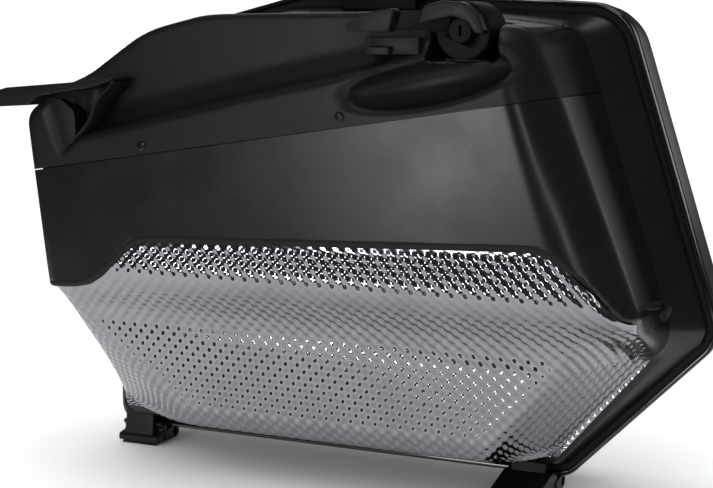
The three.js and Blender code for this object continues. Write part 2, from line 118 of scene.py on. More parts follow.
def rounded_outline(corners: Points, radius: float = 8.0, arc_steps: int = 8) -> np.ndarray:
    """A closed outline with each corner turned on an arc.

    Args:
        corners: (u, v) or (u, v, radius) for each corner.
        radius: the radius of a corner that names none.
        arc_steps: pieces in each arc.
    Returns:
        The outline's points in order.
    """
    made = []
    count = len(corners)
    for index, corner in enumerate(corners):
        here = np.array(corner[:2], float)
        before = np.array(corners[index - 1][:2], float) - here
        after = np.array(corners[(index + 1) % count][:2], float) - here
        len_before, len_after = np.linalg.norm(before), np.linalg.norm(after)
        before, after = before / len_before, after / len_after
        half = math.acos(max(-1.0, min(1.0, float(before @ after)))) / 2
        if half > math.pi / 2 - 0.01:
            made.append(here)
            continue
        wanted = corner[2] if len(corner) > 2 else radius
        run = min(wanted / math.tan(half), 0.48 * min(len_before, len_after))
        turn = run * math.tan(half)
        middle = here + (before + after) / np.linalg.norm(before + after) * turn / math.sin(half)
        first, last = here + before * run - middle, here + after * run - middle
        start = math.atan2(first[1], first[0])
        sweep = math.atan2(last[1], last[0]) - start
        sweep = (sweep + math.pi) % (2 * math.pi) - math.pi
        for step in range(arc_steps + 1):
            angle = start + sweep * step / arc_steps
            made.append(middle + turn * np.array([math.cos(angle), math.sin(angle)]))
    return np.array(made)


def outline_distance(outline: np.ndarray, u: np.ndarray, v: np.ndarray) -> np.ndarray:
    """Signed distance from points to a closed outline, negative inside.

    Args:
        outline: the outline's points in order.
        u: first coordinates.
        v: second coordinates.
    Returns:
        Distances with the shape of u.
    """
    nearest = np.full(u.shape, 1e9)
    inside = np.zeros(u.shape, bool)
    for (u0, v0), (u1, v1) in zip(outline, np.roll(outline, -1, axis=0)):
        du, dv = u1 - u0, v1 - v0
        length = du * du + dv * dv
        if length < 1e-9:
            continue
        share = np.clip(((u - u0) * du + (v - v0) * dv) / length, 0, 1)
        gap = (u - u0 - share * du) ** 2 + (v - v0 - share * dv) ** 2
        nearest = np.minimum(nearest, gap)
        if v0 != v1:
            inside ^= ((v0 > v) != (v1 > v)) & (u < du * (v - v0) / dv + u0)
    return np.where(inside, -1, 1) * np.sqrt(nearest)


@dataclass(frozen=True)
class Chart:
    """A flat grid of values, read back smoothly at any point."""

    u0: float
    v0: float
    step: float
    values: np.ndarray

    def at(self, u: np.ndarray, v: np.ndarray) -> np.ndarray:
        """The chart's value at each point, in proportion between its grid points."""
        rows, columns = self.values.shape
        a = np.clip((u - self.u0) / self.step, 0, rows - 1.001)
        b = np.clip((v - self.v0) / self.step, 0, columns - 1.001)
        i, j = a.astype(int), b.astype(int)
        a, b = a - i, b - j
        grid = self.values
        low = grid[i, j] * (1 - a) + grid[i + 1, j] * a
        high = grid[i, j + 1] * (1 - a) + grid[i + 1, j + 1] * a
        return low * (1 - b) + high * b


CHART_U = (-364.0, 316.0)  # X covered by a chart
CHART_V = (-12.0, 448.0)  # Z covered by a chart


def chart_of(value: Callable[[np.ndarray, np.ndarray], np.ndarray], step: float = 1.5) -> Chart:
    """A chart over the whole case of any value of X and Z.

    Args:
        value: the function of X and Z.
        step: the chart's spacing in millimetres.
    Returns:
        The chart.
    """
    u, v = np.meshgrid(np.arange(*CHART_U, step), np.arange(*CHART_V, step), indexing="ij")
    return Chart(CHART_U[0], CHART_V[0], step, value(u, v))


def outline_chart(corners: Points, radius: float = 8.0) -> Chart:
    """A chart of the distance to a rounded outline in X and Z."""
    outline = rounded_outline(corners, radius)
    return chart_of(lambda u, v: outline_distance(outline, u, v))


def both(a: np.ndarray, b: np.ndarray, radius: float) -> np.ndarray:
    """The field of what lies in a and in b, with the edge between them rounded."""
    return (
        np.minimum(np.maximum(a, b) + radius, 0)
        + np.hypot(np.maximum(a + radius, 0), np.maximum(b + radius, 0))
        - radius
    )


def higher(a: np.ndarray, b: np.ndarray, radius: float) -> np.ndarray:
    """The greater of two values, with a smooth change from one to the other."""
    return 0.5 * (a + b + np.sqrt((a - b) ** 2 + radius * radius))


# ------------------------------------------------------------------------------------------------
# meshes


def surface_net(values: np.ndarray, low: np.ndarray, step: float) -> tuple[np.ndarray, np.ndarray]:
    """The zero surface of a 3-D grid of values as quads, one vertex to each grid cell that it crosses.

    Args:
        values: the field on the grid, negative inside.
        low: the grid's first corner.
        step: the grid's spacing.
    Returns:
        (points, quads), with the quads facing out.
    """
    inside = values < 0
    shape = np.array(values.shape) - 1
    count = np.zeros(shape, int)
    for corner in product((0, 1), repeat=3):
        count += inside[tuple(slice(c, c + n) for c, n in zip(corner, shape))]
    cells = np.stack(np.nonzero((count > 0) & (count < 8)), axis=1)
    total = np.zeros((len(cells), 3))
    crossings = np.zeros(len(cells))
    for axis in range(3):
        for side in product((0, 1), repeat=2):
            start = np.insert(np.array(side), axis, 0)
            first, second = cells + start, cells + start + np.eye(3, dtype=int)[axis]
            f0, f1 = values[tuple(first.T)], values[tuple(second.T)]
            crosses = (f0 < 0) != (f1 < 0)
            share = np.where(crosses, f0 / np.where(crosses, f0 - f1, 1), 0)
            point = np.repeat(start[None].astype(float), len(cells), axis=0)
            point[:, axis] = share
            total += point * crosses[:, None]
            crossings += crosses
    points = low + step * (cells + total / crossings[:, None])
    number = np.full(shape, -1)
    number[tuple(cells.T)] = np.arange(len(cells))
    quads = []
    for axis in range(3):
        b, c = (axis + 1) % 3, (axis + 2) % 3
        near = inside[tuple(slice(0, -1) if k == axis else slice(1, -1) for k in range(3))]
        far = inside[tuple(slice(1, None) if k == axis else slice(1, -1) for k in range(3))]
        edges = np.stack(np.nonzero(near != far), axis=1)
        outwards = near[tuple(edges.T)]
        edges[:, b] += 1
        edges[:, c] += 1
        step_b, step_c = np.eye(3, dtype=int)[b], np.eye(3, dtype=int)[c]
        around = (edges - step_b - step_c, edges - step_c, edges, edges - step_b)
        ring = np.stack([number[tuple(cell.T)] for cell in around], axis=1)
        ring[~outwards] = ring[~outwards][:, ::-1]
        quads.append(ring)
    return points, np.concatenate(quads)


def settled(points: np.ndarray, form: Callable[[np.ndarray], np.ndarray], rounds: int = 3) -> np.ndarray:
    """Points near a form's surface, moved onto it.

    Args:
        points: the points in millimetres.
        form: the field, negative inside.
        rounds: how many steps to take.
    Returns:
        The moved points.
    """
    reach = 0.4
    moved = points.copy()
    for _ in range(rounds):
        value = form(moved)
        slope = np.stack([(form(moved + reach * axis) - value) / reach for axis in np.eye(3)], axis=1)
        size = np.maximum((slope**2).sum(axis=1), 0.15)
        move = -(value / size)[:, None] * slope
        length = np.linalg.norm(move, axis=1, keepdims=True)
        moved += move * np.minimum(1, 1.2 / np.maximum(length, 1e-6))
    return moved


def net_of(form: Callable[[np.ndarray], np.ndarray], low: Points, high: Points, step: float) -> tuple:
    """The surface of a form between two corners of a box.

    Args:
        form: the field of an array of points, negative inside.
        low: the box's lowest corner.
        high: the box's highest corner.
        step: the mesh's spacing in millimetres.
    Returns:
        (points, quads).
    """
    axes = [np.arange(a, b + step, step) for a, b in zip(low, high)]
    grid = np.stack(np.meshgrid(*axes, indexing="ij"), axis=-1)
    values = np.stack([form(slab) for slab in grid])
    points, quads = surface_net(values, np.array(low, float), step)
    return settled(points, form), quads


def mesh_object(name: str, points: np.ndarray, faces: Sequence, smooth_deg: float = 35) -> bpy.types.Object:
    """A new object from drawing millimetres, shaded smooth up to an angle.

    Args:
        name: the object's name.
        points: the vertices in drawing millimetres.
        faces: the vertices of each face, facing out.
        smooth_deg: edges sharper than this stay crisp.
    Returns:
        The object, at the origin.
    """
    mesh = bpy.data.meshes.new(name)
    faces = faces.tolist() if isinstance(faces, np.ndarray) else faces
    mesh.from_pydata(placed(points).tolist(), [], faces)
    mesh.validate()
    made = bpy.data.objects.new(name, mesh)
    bpy.context.scene.collection.objects.link(made)
    crisped(made, smooth_deg)
    return made


def crisped(obj: bpy.types.Object, smooth_deg: float) -> None:
    """Shades an object smooth, except over edges sharper than an angle."""
    mesh = obj.data
    mesh.shade_smooth()
    mesh.set_sharp_from_angle(angle=math.radians(smooth_deg))


def settle_modifiers(obj: bpy.types.Object) -> None:
    """Turns an object's modifiers into plain mesh and removes them."""
    bpy.context.view_layer.update()
    evaluated = obj.evaluated_get(bpy.context.evaluated_depsgraph_get())
    mesh = bpy.data.meshes.new_from_object(evaluated)
    obj.modifiers.clear()
    obj.data = mesh


def carved(target: bpy.types.Object, tool: bpy.types.Object, operation: str) -> None:
    """Cuts, keeps or joins one closed mesh with another and removes the tool.

    Args:
        target: the mesh that changes.
        tool: the mesh that cuts it.
        operation: DIFFERENCE, INTERSECT or UNION.
    """
    modifier = target.modifiers.new("carve", "BOOLEAN")
    modifier.operation = operation
    modifier.solver = "MANIFOLD"
    modifier.object = tool
    settle_modifiers(target)
    bpy.data.objects.remove(tool)


def prism(name: str, outline: np.ndarray, low: Callable, high: Callable,
          place: Callable) -> bpy.types.Object:
    """A closed prism between two caps.

    Args:
        name: the object's name.
        outline: the outline's points, two numbers each, anticlockwise as seen from its high end.
        low: gives the low end's height at each point of the outline.
        high: gives the high end's height.
        place: turns (u, v, height) into X, Y and Z.
    Returns:
        The object.
    """
    count = len(outline)
    points = [place(u, v, low(u, v)) for u, v in outline] + [place(u, v, high(u, v)) for u, v in outline]
    sides = [[i, (i + 1) % count, count + (i + 1) % count, count + i] for i in range(count)]
    caps = [list(range(count))[::-1], list(range(count, 2 * count))]
    return mesh_object(name, np.array(points), sides + caps, 30)


def swept(sections: np.ndarray, closed: bool = False) -> tuple[np.ndarray, list]:
    """The quads that join a row of sections.

    Args:
        sections: an array of sections, each a ring of points.
        closed: whether the last section joins the first.
    Returns:
        (points, faces), with flat caps where the row is open.
    """
    rows, around = sections.shape[:2]
    faces = []
    for row in range(rows if closed else rows - 1):
        here, there = row * around, (row + 1) % rows * around
        for k in range(around):
            n = (k + 1) % around
            faces.append([here + k, here + n, there + n, there + k])
    if not closed:
        faces += [list(range(around))[::-1], [(rows - 1) * around + k for k in range(around)]]
    return sections.reshape(-1, 3), faces


def faces_out(obj: bpy.types.Object) -> None:
    """Merges an object's doubles and turns its faces outwards."""
    sheet = bmesh.new()
    sheet.from_mesh(obj.data)
    bmesh.ops.remove_doubles(sheet, verts=sheet.verts, dist=1e-6)
    bmesh.ops.recalc_face_normals(sheet, faces=sheet.faces)
    sheet.to_mesh(obj.data)
    sheet.free()


def softened(node_name: str, width_mm: float, segments: int = 3, smooth_deg: float = 40) -> bpy.types.Object:
    """A copy of a CAD node with its edges rounded, which stands for the node.

    Args:
        node_name: the CAD node.
        width_mm: how wide each edge's rounding is.
        segments: pieces across it.
        smooth_deg: edges sharper than this stay crisp.
    Returns:
        The new object, at the origin.
    """
    source = frame["nodes"][node_name]
    sheet = bmesh.new()
    sheet.from_mesh(source.data)
    bmesh.ops.remove_doubles(sheet, verts=sheet.verts, dist=2e-6)
    bmesh.ops.dissolve_limit(sheet, angle_limit=math.radians(1.5), verts=sheet.verts, edges=sheet.edges)
    sharp = [e for e in sheet.edges if e.is_manifold and e.calc_face_angle(0) > math.radians(24)]
    bmesh.ops.bevel(
        sheet, geom=sharp, offset=width_mm * MM, offset_type="OFFSET", segments=segments,
        profile=0.5, affect="EDGES", clamp_overlap=True,
    )
    mesh = bpy.data.meshes.new(node_name + "_finished")
    sheet.to_mesh(mesh)
    sheet.free()
    made = bpy.data.objects.new(node_name + "_finished", mesh)
    bpy.context.scene.collection.objects.link(made)
    crisped(made, smooth_deg)
    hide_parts(node_name)
    return made


# ------------------------------------------------------------------------------------------------
# finishes


def linear(code: str) -> tuple[float, float, float, float]:
    """A colour for a shader from its sRGB hex code."""
    parts = [int(code.lstrip("#")[k : k + 2], 16) / 255 for k in (0, 2, 4)]
    return tuple(p / 12.92 if p <= 0.04045 else ((p + 0.055) / 1.055) ** 2.4 for p in parts) + (1.0,)


def add(tree: bpy.types.NodeTree, kind: str, links: Optional[dict] = None, **settings) -> bpy.types.Node:
    """Adds a node with its settings and links.

    Args:
        tree: the node tree.
        kind: the node's type.
        links: an output socket or a plain value for each input, by name or number.
        settings: the node's own attributes.
    Returns:
        The node.
    """
    made = tree.nodes.new(kind)
    for name, value in settings.items():
        setattr(made, name, value)
    for key, value in (links or {}).items():
        if isinstance(value, bpy.types.NodeSocket):
            tree.links.new(value, made.inputs[key])
        else:
            made.inputs[key].default_value = value
    return made


@dataclass(frozen=True)
class Finish:
    """What every surface here shares: a base colour that drifts a little, gloss that varies, fine grain.

    Sizes are in millimetres of real surface.
    """

    name: str
    colour: str
    drift_colour: str
    roughness: float
    rough_spread: float = 0.08
    metallic: float = 0.0
    specular: float = 0.5
    grain_mm: float = 1.2
    grain_depth_mm: float = 0.05
    patch_mm: float = 60.0
    coat: float = 0.0
    stretch: tuple[float, float, float] = (1.0, 1.0, 1.0)

    def material(self) -> bpy.types.Material:
        """The finish as a material, made once and shared."""
        known = bpy.data.materials.get(self.name)
        if known:
            return known
        made = bpy.data.materials.new(self.name)
        made.use_nodes = True
        tree = made.node_tree
        tree.nodes.clear()
        place = add(tree, "ShaderNodeTexCoord").outputs["Object"]
        along = add(tree, "ShaderNodeMapping", {"Vector": place, "Scale": self.stretch}).outputs[0]
        # broad patches: handling marks and dust film, which shift both colour and gloss
        patches = add(tree, "ShaderNodeTexNoise", {
            "Vector": place, "Scale": 1 / (self.patch_mm * MM), "Detail": 4.0, "Roughness": 0.55,
        }).outputs["Fac"]
        grain = add(tree, "ShaderNodeTexNoise", {
            "Vector": along, "Scale": 1 / (self.grain_mm * MM), "Detail": 2.0, "Roughness": 0.6,
        }).outputs["Fac"]
        tint = add(tree, "ShaderNodeMix", {
            0: patches, 6: linear(self.colour), 7: linear(self.drift_colour),
        }, data_type="RGBA")
        gloss = add(tree, "ShaderNodeMapRange", {
            "Value": patches, "From Min": 0.3, "From Max": 0.7,
            "To Min": max(0.02, self.roughness - self.rough_spread),
            "To Max": self.roughness + self.rough_spread,
        })
        relief = add(tree, "ShaderNodeBump", {
            "Height": grain, "Distance": self.grain_depth_mm * MM, "Strength": 1.0,
        })
        shader = add(tree, "ShaderNodeBsdfPrincipled", {
            "Base Color": tint.outputs[2], "Roughness": gloss.outputs[0], "Normal": relief.outputs[0],
            "Metallic": self.metallic, "Specular IOR Level": self.specular,
            "Coat Weight": self.coat, "Coat Roughness": 0.06,
        })
        add(tree, "ShaderNodeOutputMaterial", {"Surface": shader.outputs[0]})
        return made


class Finishes:
    """The case's real materials."""

    # Satin moulded ABS: near black, a broad soft highlight with a faint violet warmth, smudged by hands.
    SHELL = Finish("satin moulded ABS", "#0c0c0e", "#121115", 0.28, 0.03, specular=0.4,
                   grain_mm=1.6, grain_depth_mm=0.03, patch_mm=42)
    # Textured glass-filled nylon: greyer and duller than the shell, its spark-eroded grain kills the gloss.
    PANEL = Finish("textured glass-filled nylon", "#0d0e0f", "#121314", 0.42, 0.05, specular=0.24,
                   grain_mm=1.3, grain_depth_mm=0.05, patch_mm=70)
    # Acetal bearing plastic, matt and blacker than the panel as painted shade, so the claw's works look
    # shadowed.
    SHADE_DARKENED_PIVOT = Finish("black acetal darkened as painted shade", "#050506", "#0a0a0b", 0.55, 0.05, specular=0.16,
                   grain_mm=1.0, grain_depth_mm=0.02, patch_mm=20)
    # The lid is the same ABS moulding, polished a little finer.
    LID = Finish("fine satin moulded ABS", "#0d0e0f", "#131415", 0.3, 0.05, specular=0.45,
                 grain_mm=1.6, grain_depth_mm=0.02, patch_mm=80)
    # Lacquered trim: a deep gloss strip that draws thin bright lines along the rim.
    GLOSS = Finish("lacquered ABS trim", "#0a0b0c", "#0e0f10", 0.12, 0.03, specular=0.5,
                   grain_mm=4, grain_depth_mm=0.004, coat=0.25)
    # Embossed aluminium foil: bright, mirror-like in the dimples, milky where it has been handled.
    FOIL = Finish("embossed aluminium foil", "#97989c", "#85868b", 0.12, 0.04, metallic=1.0,
                  grain_mm=2.4, grain_depth_mm=0.03, patch_mm=45)
    # EPDM rubber: matt charcoal with a faint bloom.
    RUBBER = Finish("EPDM rubber", "#0d0d0e", "#151516", 0.7, 0.06, specular=0.3,
                    grain_mm=1.0, grain_depth_mm=0.05, patch_mm=20)
    # Closed-cell foam: dull, with open pores.
    FOAM = Finish("closed-cell foam", "#262627", "#303031", 0.92, 0.04, specular=0.2,
                  grain_mm=1.4, grain_depth_mm=0.3, patch_mm=20)
    # Brushed stainless steel: streaks along X, grey reflections.
    STEEL = Finish("brushed stainless steel", "#a8aaad", "#8f9194", 0.28, 0.06, metallic=1.0,
                   grain_mm=1.2, grain_depth_mm=0.02, patch_mm=14, stretch=(0.12, 1.0, 1.0))
    # Black oxide on steel: screws and pins, dark with worn grey edges.
    BLACKED = Finish("black oxide steel", "#26272a", "#3a3b3e", 0.38, 0.08, metallic=0.9,
                     grain_mm=0.9, grain_depth_mm=0.03, patch_mm=6)


# ------------------------------------------------------------------------------------------------
# the case's form


@dataclass
class CaseForm:
    """The rounded form that all moulded walls and the shield follow, in drawing millimetres.

    Outlines are in X and Z as (x, z, corner radius). +Y is outboard, away from the motorcycle.
    """

    face: Points = (
        (-288, 316, 18), (-268, 165, 18), (-190, 38, 26), (140, 38, 26), (240, 172, 20),
        (148, 386, 26), (60, 399, 60), (-127, 397, 90), (-182, 384, 110), (-250, 341, 40),
    )
    crease: Points = (
        (-288, 300, 30), (-284, 150, 30), (-272, 30, 18), (142, 30, 20), (240, 146, 22),
        (160, 386, 26), (70, 397, 60), (-110, 398, 90), (-180, 384, 110), (-250, 336, 40),
    )
    rim: Points = (
        (-291, 280, 50), (-292, 150, 90), (-292, 15, 18), (150, 15, 20), (274, 141, 30),
        (190, 405, 42), (80, 412, 90), (-100, 415, 90), (-196, 392, 50), (-262, 336, 50),
    )
    inboard_y: float = -110.0
    crease_y: float = 14.0
    flange_y: float = 38.0
    flange_back_y: float = 41.0
    flange_step: float = 9.0
    edge_round: float = 12.0
    rear_round: float = 40.0  # the rear upright corner is turned much wider
    rear_round_from: float = 90.0
    rear_round_over: float = 90.0
    # the recess for the silencer: Y and Z down the middle of the shield
    profile: Points = (
        (-108.5, 224), (-110.5, 192), (-109, 184), (-104, 176), (-84, 153), (-77, 139), (-63, 62),
        (-52, 46), (-18, 37), (30, 29),
    )
    profile_soft: float = 2.6
    front_facet: Points = ((-228, -75, 115), (-0.425, -0.664, -0.615))
    rear_facet: Points = ((129, -75, 80), (0.692, -0.369, -0.62))
    rear_roof: Points = ((198, -75, 157), (0.167, -0.357, -0.919))
    facet_y: float = 14.0
    shield_outline: Points = (
        (-300, 168, 10), (-228, 172, 20), (-206, 186, 20), (-184, 209, 16), (-172, 213, 16),
        (166, 225, 12), (181, 219, 10), (206, 198, 14), (230, 174, 12), (262, 166, 8),
        (262, 20, 4), (-300, 20, 4),
    )
    shield_air: float = 5.0

    def __post_init__(self) -> None:
        """Draws the charts that the fields read."""
        self.face_chart = outline_chart(self.face)
        self.crease_chart = outline_chart(self.crease)
        self.rim_chart = outline_chart(self.rim)
        self.outline = outline_chart(self.shield_outline)
        self.recess = chart_of(self.recess_y)
        slope = np.gradient(self.recess.values, self.recess.step)
        self.recess_turn = Chart(
            self.recess.u0, self.recess.v0, self.recess.step,
            1 / np.sqrt(1 + slope[0] ** 2 + slope[1] ** 2),
        )

    def envelope(self, x: np.ndarray, y: np.ndarray, z: np.ndarray) -> np.ndarray:
        """Signed distance in X and Z from the case's sides at a depth, negative inside."""
        upper = np.clip((y - self.inboard_y) / (self.crease_y - self.inboard_y), 0, 1)
        flare = np.clip((y - self.crease_y) / (self.flange_y - self.crease_y), 0, 1)
        crease = self.crease_chart.at(x, z)
        sides = self.face_chart.at(x, z) * (1 - upper) + crease * upper
        rim = self.rim_chart.at(x, z) + self.flange_step
        return sides * (1 - flare) + rim * flare

    def rounding(self, x: np.ndarray) -> np.ndarray:
        """How widely the inboard edge is rounded at each X."""
        share = np.clip((x - self.rear_round_from) / self.rear_round_over, 0, 1)
        return self.edge_round + (self.rear_round - self.edge_round) * share * share * (3 - 2 * share)

    def rounded_wall_y(self, x: np.ndarray, z: np.ndarray) -> np.ndarray:
        """The Y of the inboard wall over X and Z, its rounding included."""
        radius = self.rounding(x)
        into = np.clip(outline_distance(rounded_outline(self.face), x, z) + radius, 0, radius)
        return self.inboard_y + radius - np.sqrt(radius**2 - into**2)

    def facet(self, plane: Points, x: np.ndarray, z: np.ndarray) -> np.ndarray:
        """The Y of a slanting facet over X and Z."""
        (px, py, pz), (nx, ny, nz) = plane
        return py - (nx * (x - px) + nz * (z - pz)) / ny

    def profile_y(self, z: np.ndarray) -> np.ndarray:
        """The Y of the recess along its middle, with its creases softened."""
        ys, zs = np.array(self.profile, float)[::-1].T
        total = np.zeros_like(z, dtype=float)
        offsets = np.linspace(-2, 2, 9)
        weights = np.exp(-(offsets**2) / 2)
        for offset, weight in zip(offsets, weights / weights.sum()):
            total += weight * np.interp(z + offset * self.profile_soft, zs, ys)
        return total

    def recess_y(self, x: np.ndarray, z: np.ndarray) -> np.ndarray:
        """The Y of the shield's outer face over X and Z."""
        middle = self.profile_y(z)
        front = self.facet(self.front_facet, x, z)
        rear = -higher(-self.facet(self.rear_facet, x, z), -self.facet(self.rear_roof, x, z), 9)
        deepest = higher(higher(middle, front, 9), rear, 9)
        deepest = higher(deepest, self.rounded_wall_y(x, z) - 1.6, 2)
        return np.minimum(deepest, self.facet_y)

    def shield_top(self, x: np.ndarray) -> np.ndarray:
        """The Z of the shield's upper edge over X."""
        top = rounded_outline(self.shield_outline, 12)
        upper = top[(top[:, 1] > 160)]
        order = np.argsort(upper[:, 0])
        return np.interp(x, upper[order, 0], upper[order, 1])

    def walls(self, p: np.ndarray) -> np.ndarray:
        """The moulded outer walls, stepped in behind the shield."""
        x, y, z = p[..., 0], p[..., 1], p[..., 2]
        body = both(self.envelope(x, y, z), self.inboard_y - y, self.rounding(x))
        behind = (y - self.recess.at(x, z) - self.shield_air) * self.recess_turn.at(x, z)
        step = both(behind, self.outline.at(x, z), 1.5)
        return both(body, -step, 3.0)


@dataclass
class PanelForm:
    """The carrier panel's sculpted face: rail recess, finger scoop, claw pocket and hook bay."""

    case: CaseForm
    recess_y: float = -85.0
    recess_draft: float = 0.42
    recess_outline: Points = (
        (-250, 288, 6), (-238, 295, 8), (-208, 301, 14), (-78, 331, 30), (46, 356, 30), (74, 361, 10),
        (132, 361, 6), (134, 374, 10), (124, 400, 16), (104, 450, 4), (-340, 450, 4), (-340, 337, 2),
        (-250, 337, 2),
    )
    ledge_round: float = 5.0
    recess_fillet: float = 13.0
    scoop_centre: tuple[float, float] = (80, 347)
    scoop_half: tuple[float, float, float] = (68, 18, 25)
    scoop_tilt: float = -0.2
    pocket_y: float = -56.0
    pocket_outline: Points = (
        (73, 361, 3), (132, 361, 6), (133, 374, 10), (128, 392, 14), (118, 432, 6), (73, 432, 3),
    )
    block_plane: Points = ((-263, -110, 322), (0.55, -0.80, 0.2))
    bay_outline: Points = (
        (-272, 331, 2), (-250, 283, 2), (-237, 292, 3), (-218, 311, 3), (-211, 327, 3), (-199, 338, 3),
        (-230, 338, 3),
    )
    bay_y: float = -88.0

    def __post_init__(self) -> None:
        """Draws the charts that the field reads."""
        self.recess_chart = outline_chart(self.recess_outline)
        self.pocket_chart = outline_chart(self.pocket_outline)
        self.bay_chart = outline_chart(self.bay_outline)

    def rooms(self, p: np.ndarray) -> np.ndarray:
        """The rooms taken out of the panel, negative inside them."""
        x, y, z = p[..., 0], p[..., 1], p[..., 2]
        depth = y - self.case.inboard_y
        draft = math.cos(math.atan(self.recess_draft))
        ledge = (self.recess_chart.at(x, z) + depth * self.recess_draft) * draft
        recess = both(ledge, y - self.recess_y, self.recess_fillet)
        cos, sin = math.cos(self.scoop_tilt), math.sin(self.scoop_tilt)
        u, w = x - self.scoop_centre[0], z - self.scoop_centre[1]
        a, b, c = self.scoop_half
        reach = np.sqrt(((u * cos - w * sin) / a) ** 2 + ((u * sin + w * cos) / b) ** 2 + (depth / c) ** 2)
        scoop = (reach - 1) * b
        pocket = both(self.pocket_chart.at(x, z), y - self.pocket_y, 3)
        (px, py, pz), (nx, ny, nz) = self.block_plane
        slant = -(nx * (x - px) + ny * (y - py) + nz * (z - pz))
        bay = both(both(self.bay_chart.at(x, z), y - self.bay_y, 3), slant, 2)
        joined = -both(-recess, -scoop, 7)
        return np.minimum(np.minimum(joined, pocket), bay)

    def walls(self, p: np.ndarray) -> np.ndarray:
        """The outer walls with the panel's rooms taken out."""
        return both(self.case.walls(p), -self.rooms(p), self.ledge_round)


# ------------------------------------------------------------------------------------------------
# inner shell and carrier panel


@dataclass
class MouldedWalls:
    """The inner shell and the carrier panel, two skins of one form parted by the panel's seam."""

    form: PanelForm
    outer_step: float = 2.8
    inner_step: float = 4.5
    wall: float = 4.5
    seam: Points = ((-330.0, 260.5), (310.0, 356.5))
    seam_gap: float = 0.8
    panel_back_y: float = -74.0
    corner_x: float = 152.0
    corner_back_y: float = 13.5
    low: Points = (-300.0, -118.0, 16.0)
    high: Points = (276.0, 46.0, 412.0)

    def outside(self, p: np.ndarray) -> np.ndarray:
        """The solid form with its open side closed flat."""
        return both(self.form.walls(p), p[..., 1] - self.form.case.flange_back_y, 0.6)

    def inside(self, p: np.ndarray) -> np.ndarray:
        """The room inside, which runs out through the open side."""
        return np.maximum(self.form.walls(p) + self.wall, p[..., 1] - 58)

    def seam_z(self, x: float) -> float:
        """The seam's height at an X."""
        (x0, z0), (x1, z1) = self.seam
        return z0 + (x - x0) * (z1 - z0) / (x1 - x0)

    def panel_zone(self, grow: float) -> bpy.types.Object:
        """The zone above the seam that the panel fills, grown all round."""
        back, corner = self.panel_back_y + grow, self.corner_back_y + grow
        plan = [(-340, -140), (320, -140), (320, corner), (self.corner_x - grow, corner),
                (self.corner_x - grow, back), (-340, back)]
        return prism("zone", np.array(plan, float), lambda u, v: self.seam_z(u) - grow, lambda u, v: 470,
                     lambda u, v, height: (u, v, height))

    def build(self) -> list[bpy.types.Object]:
        """Builds and dresses both skins.

        Returns:
            The shell and the panel.
        """
        skin = mesh_object("inner_shell_moulding",
                           *net_of(self.outside, self.low, self.high, self.outer_step))
        hollow_high = (self.high[0], 66.0, self.high[2])
        hollow = mesh_object("hollow", *net_of(self.inside, self.low, hollow_high, self.inner_step))
        carved(skin, hollow, "DIFFERENCE")
        panel = skin.copy()
        panel.data = skin.data.copy()
        panel.name = "carrier_panel_moulding"
        bpy.context.scene.collection.objects.link(panel)
        carved(panel, self.panel_zone(0), "INTERSECT")
        carved(skin, self.panel_zone(self.seam_gap), "DIFFERENCE")
        for obj, node_name, finish in (
            (skin, "inner_shell", Finishes.SHELL),
            (panel, "carrier_panel", Finishes.PANEL),
        ):
            crisped(obj, 38)
            dress(obj, finish, "case")
            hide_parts(node_name)
        return [skin, panel]


@dataclass
class SeamLip:
    """The shell's inner lip behind the panel's seam, which keeps water and light out."""

    walls: MouldedWalls
    radius: float = 2.6
    centre: tuple[float, float] = (-20.0, 0.0)
    start_deg: float = 192.5
    end_deg: float = 363.0

    def build(self) -> bpy.types.Object:
        """Builds and dresses the lip, traced along the seam inside the wall."""
        angle = np.radians(np.linspace(self.start_deg, self.end_deg, 240))
        reach = np.linspace(20, 330, 620)
        x = self.centre[0] + np.cos(angle)[:, None] * reach
        y = self.centre[1] + np.sin(angle)[:, None] * reach
        z = self.walls.seam_z(x)
        depth = self.walls.form.walls(np.stack([x, y, z], axis=-1)) + self.walls.wall + self.radius - 0.8
        at = reach[np.argmax(depth > 0, axis=1)]
        at = np.convolve(np.pad(at, 3, mode="edge"), np.ones(7) / 7, mode="valid")
        path = np.stack([self.centre[0] + np.cos(angle) * at, self.centre[1] + np.sin(angle) * at], axis=1)
        line = np.column_stack([path, self.walls.seam_z(path[:, 0])])
        lip = path_object("seam_lip", line)
        run_tree(lip, bead_tree(Finishes.SHELL), {"Radius": self.radius * MM, "Spacing": 0.004, "Sides": 10})
        faces_out(lip)
        dress(lip, Finishes.SHELL, "case")
        return lip


def dress(obj: bpy.types.Object, finish: Finish, body: str) -> None:
    """Gives a piece its finish and the body that it rides on.

    Args:
        obj: the piece, in place.
        finish: its finish.
        body: the CAD body.
    """
    obj.data.materials.clear()
    obj.data.materials.append(finish.material())
    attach(obj, body)
    LOG.info("%s: %d faces, %s, on %s", obj.name, len(obj.data.polygons), finish.name, body)


# ------------------------------------------------------------------------------------------------
# heat shield


